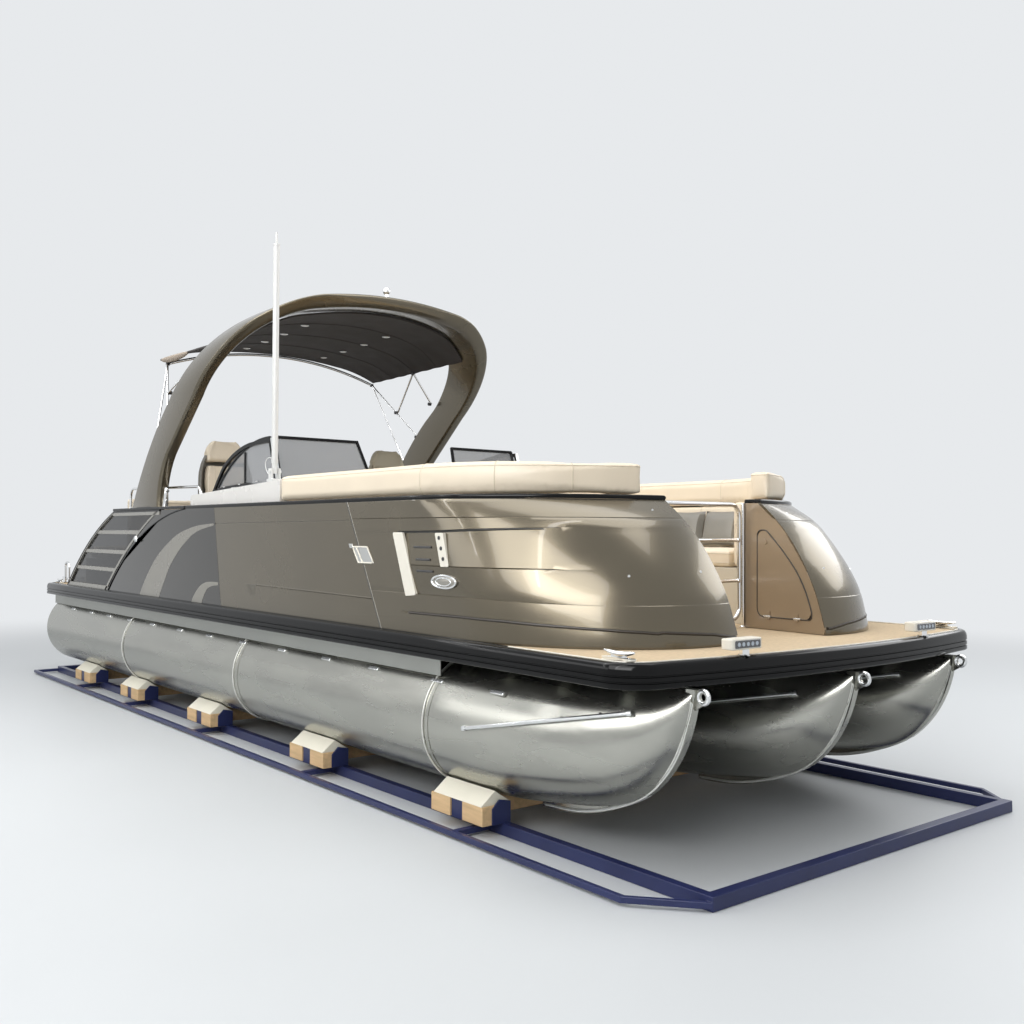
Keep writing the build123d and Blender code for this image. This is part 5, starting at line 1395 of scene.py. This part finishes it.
# Consoles
# The helm and its twin are white moulded boxes with long side coamings under the screens.
# Each has a dark dash with gauges, a switch row and a cup holder; the helm carries the wheel.
white_gel = surface("white moulding", (0.74, 0.72, 0.68), rough=0.28, coat=0.4, vary=0.02)
dash_black = surface("dash black", (0.025, 0.025, 0.027), rough=0.38, vary=0.15, bump=0.25, bump_scale=500)
dial_face = surface("dial face", (0.05, 0.055, 0.06), rough=0.25, vary=0.1, coat=0.6)
paint(white_gel, "helm_console", "companion_console", edge=0.008)
dash_way = Vector((-0.320, 0, -0.180)).normalized()
dash_out = Vector((-0.180, 0, 0.320)).normalized()


def on_dash(u, v, out):
    """A point on the sloping dash: across the boat, down its slope and out from it."""
    p = Vector((0.060, 0, 1.940)) + dash_way * v + dash_out * out
    return (p.x, u, p.z)


# console: name, middle, half the dash's width, the dials' places, the first switch's, number of switches
for word, middle, half, dial_places, first_switch, switches in (
        ("helm", -0.850, 0.25, (-0.16, -0.055, 0.055, 0.16), -0.13, 6),
        ("companion", 0.860, 0.20, (-0.06, 0.06), -0.052, 3)):
    board = rounded(corners(middle - half, middle + half, 0.030, 0.335), 0.03, 5, True)
    soften(piece(word + "_dash", plate(board, -0.004, 0.006, on_dash), dash_black), 0.003)
    dials, rims, rockers = [], [], []
    for u in dial_places:
        ring = [on_dash(a, b, 0.008) for a, b in oval(28, 0.040, at=(middle + u, 0.105))]
        rims.append(tube(ring, 0.004, 8, closed=True))
        dials.append(plate(oval(28, 0.038, at=(middle + u, 0.105)), 0.004, 0.0085, on_dash))
    for k in range(switches):
        u = middle + first_switch + 0.052 * k
        rockers.append(plate(corners(u - 0.014, u + 0.014, 0.200, 0.240), 0.004, 0.012, on_dash))
    piece(word + "_dial_rims", joined(rims), stainless)
    piece(word + "_dials", joined(dials), dial_face)
    soften(piece(word + "_rockers", joined(rockers), dark_plastic), 0.003)
cups = []
for side in (-1, 1):
    for x in (0.62, -0.62):
        z = linear((-0.735, 0.436, 0.890), (1.903, 1.954, 1.974), x)
        ring = [(a, b, z) for a, b in oval(28, 0.042, at=(x, side * 1.285))]
        cups.append(tube(ring, 0.005, 8, closed=True))
piece("cup_holder_rims", joined(cups), stainless)

# Steering wheel
# A padded rim on three polished spokes, with a plain centre cap, turned by the helm's shaft.
WHEEL_CENTRE, WHEEL_TILT, WHEEL_RADIUS = Vector((-0.390, -0.850, 1.755)), radians(30), 0.190
wheel_axis = Vector((-cos(WHEEL_TILT), 0, sin(WHEEL_TILT)))
wheel_across = Vector((0, 1, 0))
wheel_high = wheel_axis.cross(wheel_across)
grip_hide = surface("stitched grip", (0.035, 0.033, 0.032), rough=0.55, vary=0.12, bump=0.4, bump_scale=420)


def on_wheel(u, v, out):
    """A point on the wheel's face."""
    p = WHEEL_CENTRE + wheel_across * u + wheel_high * v + wheel_axis * out
    return (p.x, p.y, p.z)


rim = [on_wheel(u, v, 0) for u, v in oval(64, WHEEL_RADIUS)]
piece("wheel_rim", tube(rim, 0.0148, 16, closed=True), grip_hide, "wheel", ("steering_wheel",))
hub = [[on_wheel(u, v, out) for u, v in oval(32, radius)]
       for radius, out in ((0.036, -0.008), (0.036, 0.004), (0.032, 0.008), (0.020, 0.0095), (0.004, 0.010))]
piece("wheel_cap", skin(hub, wrap=True, capped=True), dash_black, "wheel")
# half a spoke's outline: distance from the middle, half width
SPOKE = ((0.030, 0.014), (0.110, 0.008), (0.180, 0.011))
spokes, stitches = [], []
for k in range(3):
    a = radians(90 + 120 * k)
    outline = [(r, -w) for r, w in SPOKE] + [(r, w) for r, w in reversed(SPOKE)]
    flat = [(cos(a) * r - sin(a) * w, sin(a) * r + cos(a) * w) for r, w in outline]
    spokes.append(plate(flat, -0.004, 0.004, on_wheel))
    for b in (a - 0.07, a + 0.07):
        at = Vector(on_wheel(WHEEL_RADIUS * cos(b), WHEEL_RADIUS * sin(b), 0))
        out_way = (at - WHEEL_CENTRE).normalized()
        loop = [at + out_way * u + wheel_axis * v for u, v in oval(16, 0.0152)]
        stitches.append(tube(loop, 0.0012, 6, closed=True))
soften(piece("wheel_spokes", joined(spokes), stainless, "wheel"), 0.0015)
piece("wheel_stitching", joined(stitches), ivory_piping, "wheel")
shaft = [on_wheel(0, 0, out) for out in (-0.012, -0.030, -0.032, -0.095)]
piece("wheel_column", tube(shaft, [0.030, 0.032, 0.024, 0.030], 24), dark_plastic)

# Windscreens
# Smoked sheet in black frames, raked at the front and curved down at the sides, on a low base strip.
# Steel studs hold the base strip to the coaming, and a bright post braces the raked corner.
screen_tint = surface("screen tint", (0.23, 0.235, 0.24), rough=0.05, vary=0.04, rough_vary=0.02, alpha=0.60,
                      coat=0.5)
paint(black_gloss, "windscreen_frames", edge=0.003)
paint(screen_tint, "windscreen_glass")
strips, studs, braces = [], [], []
# the side frame's outer line: place and height
SIDE_FRAME = ((-0.752, 1.930), (-0.560, 2.120), (-0.400, 2.210), (-0.225, 2.268), (-0.080, 2.297),
              (0.054, 2.308), (0.340, 2.316))
BASE_STRIP = ((-0.752, 1.903), (0.436, 1.955), (0.436, 1.974), (0.030, 1.976), (-0.060, 1.990),
              (-0.640, 1.964), (-0.725, 1.938))
BRACE = ((0.450, 1.962), (0.482, 1.962), (0.372, 2.318), (0.338, 2.318))
for side in (-1, 1):
    strips.append(plate(BASE_STRIP, *side_span(side, 1.174, 1.206), place_xzy))
    frame_out = side_line(SIDE_FRAME, 5)
    frame_in = []
    for i, (x, z) in enumerate(frame_out):
        a, b = Vector(frame_out[max(0, i - 1)]), Vector(frame_out[min(len(frame_out) - 1, i + 1)])
        way = (b - a).normalized()
        frame_in.append((x + way.y * 0.030, z - way.x * 0.030))
    strips.append(band(frame_out, frame_in, *side_span(side, 1.183, 1.2065)))
    for x in (-0.50, -0.20, 0.12, 0.38):
        z = linear((-0.735, 0.436), (1.922, 1.970), x)
        studs.append(tube([(x, side * 1.204, z), (x, side * 1.214, z)], [0.011, 0.008], 14))
        studs.append(tube([(x - 0.02, side * 1.2065, z + 0.036), (x + 0.02, side * 1.2065, z + 0.036)],
                          0.005, 8))
    braces.append(plate(BRACE, *side_span(side, 1.180, 1.204), place_xzy))
    braces.append(tube([(0.455, side * 1.190, 1.953), (0.450, side * 1.190, 1.968)], [0.018, 0.012], 14))
soften(piece("windscreen_base", joined(strips), black_gloss), 0.002)
piece("windscreen_studs", joined(studs), stainless)
piece("windscreen_braces", joined(braces), bright_metal)

# Chairs
# High-backed bucket seats on steel pedestals that turn: a moulded shell, foam seat, back and headrest,
# and padded arms. The helm chair's shell is grey with ivory pads, its twin is beige throughout.
beige_vinyl = surface("beige vinyl", (0.38, 0.335, 0.24), rough=0.5, vary=0.05, bump=0.12, bump_scale=420)
paint(stainless, "chair_pedestals")
# the shell, back pad and headrest, each from low to high: height, how far the front leans aft, half width
SHELL_BACK = ((1.450, 0.200, 0.235), (1.560, 0.216, 0.252), (1.750, 0.240, 0.262), (1.950, 0.264, 0.262),
              (2.120, 0.284, 0.250), (2.220, 0.296, 0.222), (2.300, 0.306, 0.178), (2.355, 0.312, 0.125))
PAD_BACK = ((1.650, 0.105, 0.190), (1.720, 0.116, 0.206), (2.060, 0.168, 0.206), (2.160, 0.184, 0.192),
            (2.200, 0.190, 0.170))
PAD_HEAD = ((2.222, 0.196, 0.185), (2.300, 0.206, 0.190), (2.360, 0.214, 0.165), (2.400, 0.219, 0.135),
            (2.424, 0.222, 0.105))


def bucket(x, y, levels, thick, hug):
    """A chair back's part: rows up its height, as wide as its levels give, its sides brought forward."""
    rows = []
    for z in heights(levels[0][0], levels[-1][0], 24):
        lean, half = [linear([r[0] for r in levels], [r[n] for r in levels], z) for n in (1, 2)]
        across = [j / 8 - 1 for j in range(17)]
        row = [(x - lean - thick + hug * v ** 4, y + half * v, z) for v in across]
        rows.append(row + [(x - lean + hug * v ** 4, y + half * v * 0.96, z) for v in reversed(across)])
    return skin(rows, wrap=True, capped=True)


for word, x, y, shell_hide, pad_hide, seam_hide, body in (
        ("helm_chair", -1.100, -0.850, grey_vinyl, ivory_vinyl, ivory_piping, "helm_seat"),
        ("companion_chair", -1.060, 0.850, beige_vinyl, beige_vinyl, beige_vinyl, "companion_seat")):
    shell = piece(word + "_shell", bucket(x, y, SHELL_BACK, 0.044, 0.120), shell_hide, body, (word,))
    soften(shell, 0.008, 3, 50)
    pan = rounded(corners(x - 0.240, x + 0.245, y - 0.245, y + 0.245), 0.06, 6, True)
    soften(piece(word + "_pan", plate(pan, 1.452, 1.518), shell_hide, body), 0.014, 4)
    arms = []
    for arm in (y - 0.275, y + 0.275):
        line = rounded([(x - 0.215, arm, 1.470), (x - 0.220, arm, 1.742), (x + 0.150, arm, 1.742)], 0.05, 5)
        arms.append(tube(line, 0.020, 14))
    piece(word + "_arms", joined(arms), shell_hide, body)
    seat = stuffed(word + "_seat", brick(x - 0.160, x + 0.250, y - 0.230, y + 0.230, 1.526, 1.620), pad_hide,
                   0.012, 0.010, body, (word + "_cushions",))
    back = stuffed(word + "_back", bucket(x, y, PAD_BACK, 0.085, 0.040), pad_hide, 0.012, 0.010, body)
    stuffed(word + "_headrest", bucket(x, y, PAD_HEAD, 0.078, 0.035), pad_hide, 0.012, 0.008, body)
    cuts = [((0, 0, 1.600), (0, 0, 1))] + [((0, y + dy, 0), (0, 1, 0)) for dy in (-0.12, 0.12)]
    piping(word + "_seat_piping", seat, cuts, seam_hide, body, 0.003)
    cuts = [((0, y + dy, 0), (0, 1, 0)) for dy in (-0.11, 0.11)] + [((x - 0.19, y, 1.80), (-0.3, 0, 1))]
    piping(word + "_back_piping", back, cuts, seam_hide, body, 0.003)

# Whip mast
# A white glass-fibre whip with a sleeve and a slim tip, on a ratchet foot screwed to the coaming.
# Its thin white lead loops from a gland on the coaming up to the foot.
MAST_X, MAST_Y, PIVOT_Z = 0.690, -1.335, 2.040
paint(white_plastic, "mast_foot", edge=0.003)
paint(white_plastic, "mast")
sleeves = [post(MAST_X, MAST_Y, (z, z + height), radius, 24)
           for z, radius, height in ((2.100, 0.0235, 0.012), (2.118, 0.0255, 0.010), (3.696, 0.0245, 0.014))]
piece("mast_collars", joined(sleeves), white_plastic, "whip_mast")
# eight small pins round the ratchet's pivot, and four screws through the foot
screws = [tube([(x, MAST_Y + 0.046, z), (x, MAST_Y + 0.050, z)], 0.002, 6)
          for x, z in oval(8, 0.010, at=(MAST_X, PIVOT_Z))]
screws += [post(MAST_X + dx, MAST_Y + dy, (1.985, 1.988), (0.005, 0.004), 10)
           for dy in (-0.030, 0.030) for dx in (-0.036, 0.036)]
piece("mast_foot_screws", joined(screws), stainless)
gland = post(0.585, -1.315, (1.964, 1.970, 1.971, 1.990), (0.012, 0.012, 0.0085, 0.005), 16)
lead_gland = piece("mast_lead_gland", gland, white_plastic)
# the lead's route: out of the gland, over and down to the foot
LEAD = ((0.585, -1.315, 1.964), (0.585, -1.316, 2.010), (0.520, -1.320, 2.050), (0.495, -1.320, 2.125),
        (0.560, -1.312, 2.160), (0.640, -1.298, 2.110), (0.659, -1.294, 2.060), (0.661, -1.294, 2.008))
LEAD_RADIUS = 0.003
wire = bpy.data.curves.new("mast_lead_wire", "CURVE")
wire.dimensions = "3D"
wire.bevel_depth = LEAD_RADIUS
wire.bevel_resolution = 4
route = wire.splines.new("NURBS")
route.points.add(len(LEAD) - 1)
for point, at in zip(route.points, LEAD):
    point.co = (*at, 1)
route.order_u = 3
route.use_endpoint_u = True
lead = bpy.data.objects.new("mast_lead_wire", wire)
scene.collection.objects.link(lead)
wire.materials.append(white_plastic)
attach(lead, "boat")
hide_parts("mast_lead")
bare = wire.copy()
bare.bevel_depth = 0
probe = bpy.data.objects.new("lead_probe", bare)
line = bpy.data.meshes.new_from_object(probe)
bpy.data.objects.remove(probe)

# Boarding ladder
# A three-step stainless ladder lies folded on the aft deck, on a hinge bracket with two hand-holds.
# Ribbed rubber treads cover its steps.
tread_rubber = surface("tread rubber", (0.04, 0.04, 0.042), rough=0.7, vary=0.15, bump=0.6, bump_scale=180)
paint(stainless, "boarding_ladder", "ladder_bracket")
# six ribs on each of three steps
ribs = [step - 0.030 + 0.0104 * k for step in (-4.440, -4.140, -3.840) for k in range(6)]
treads = [brick(x, x + 0.0065, -1.245, -0.915, 1.0735, 1.0775) for x in ribs]
piece("ladder_treads", joined(treads), tread_rubber, "ladder")
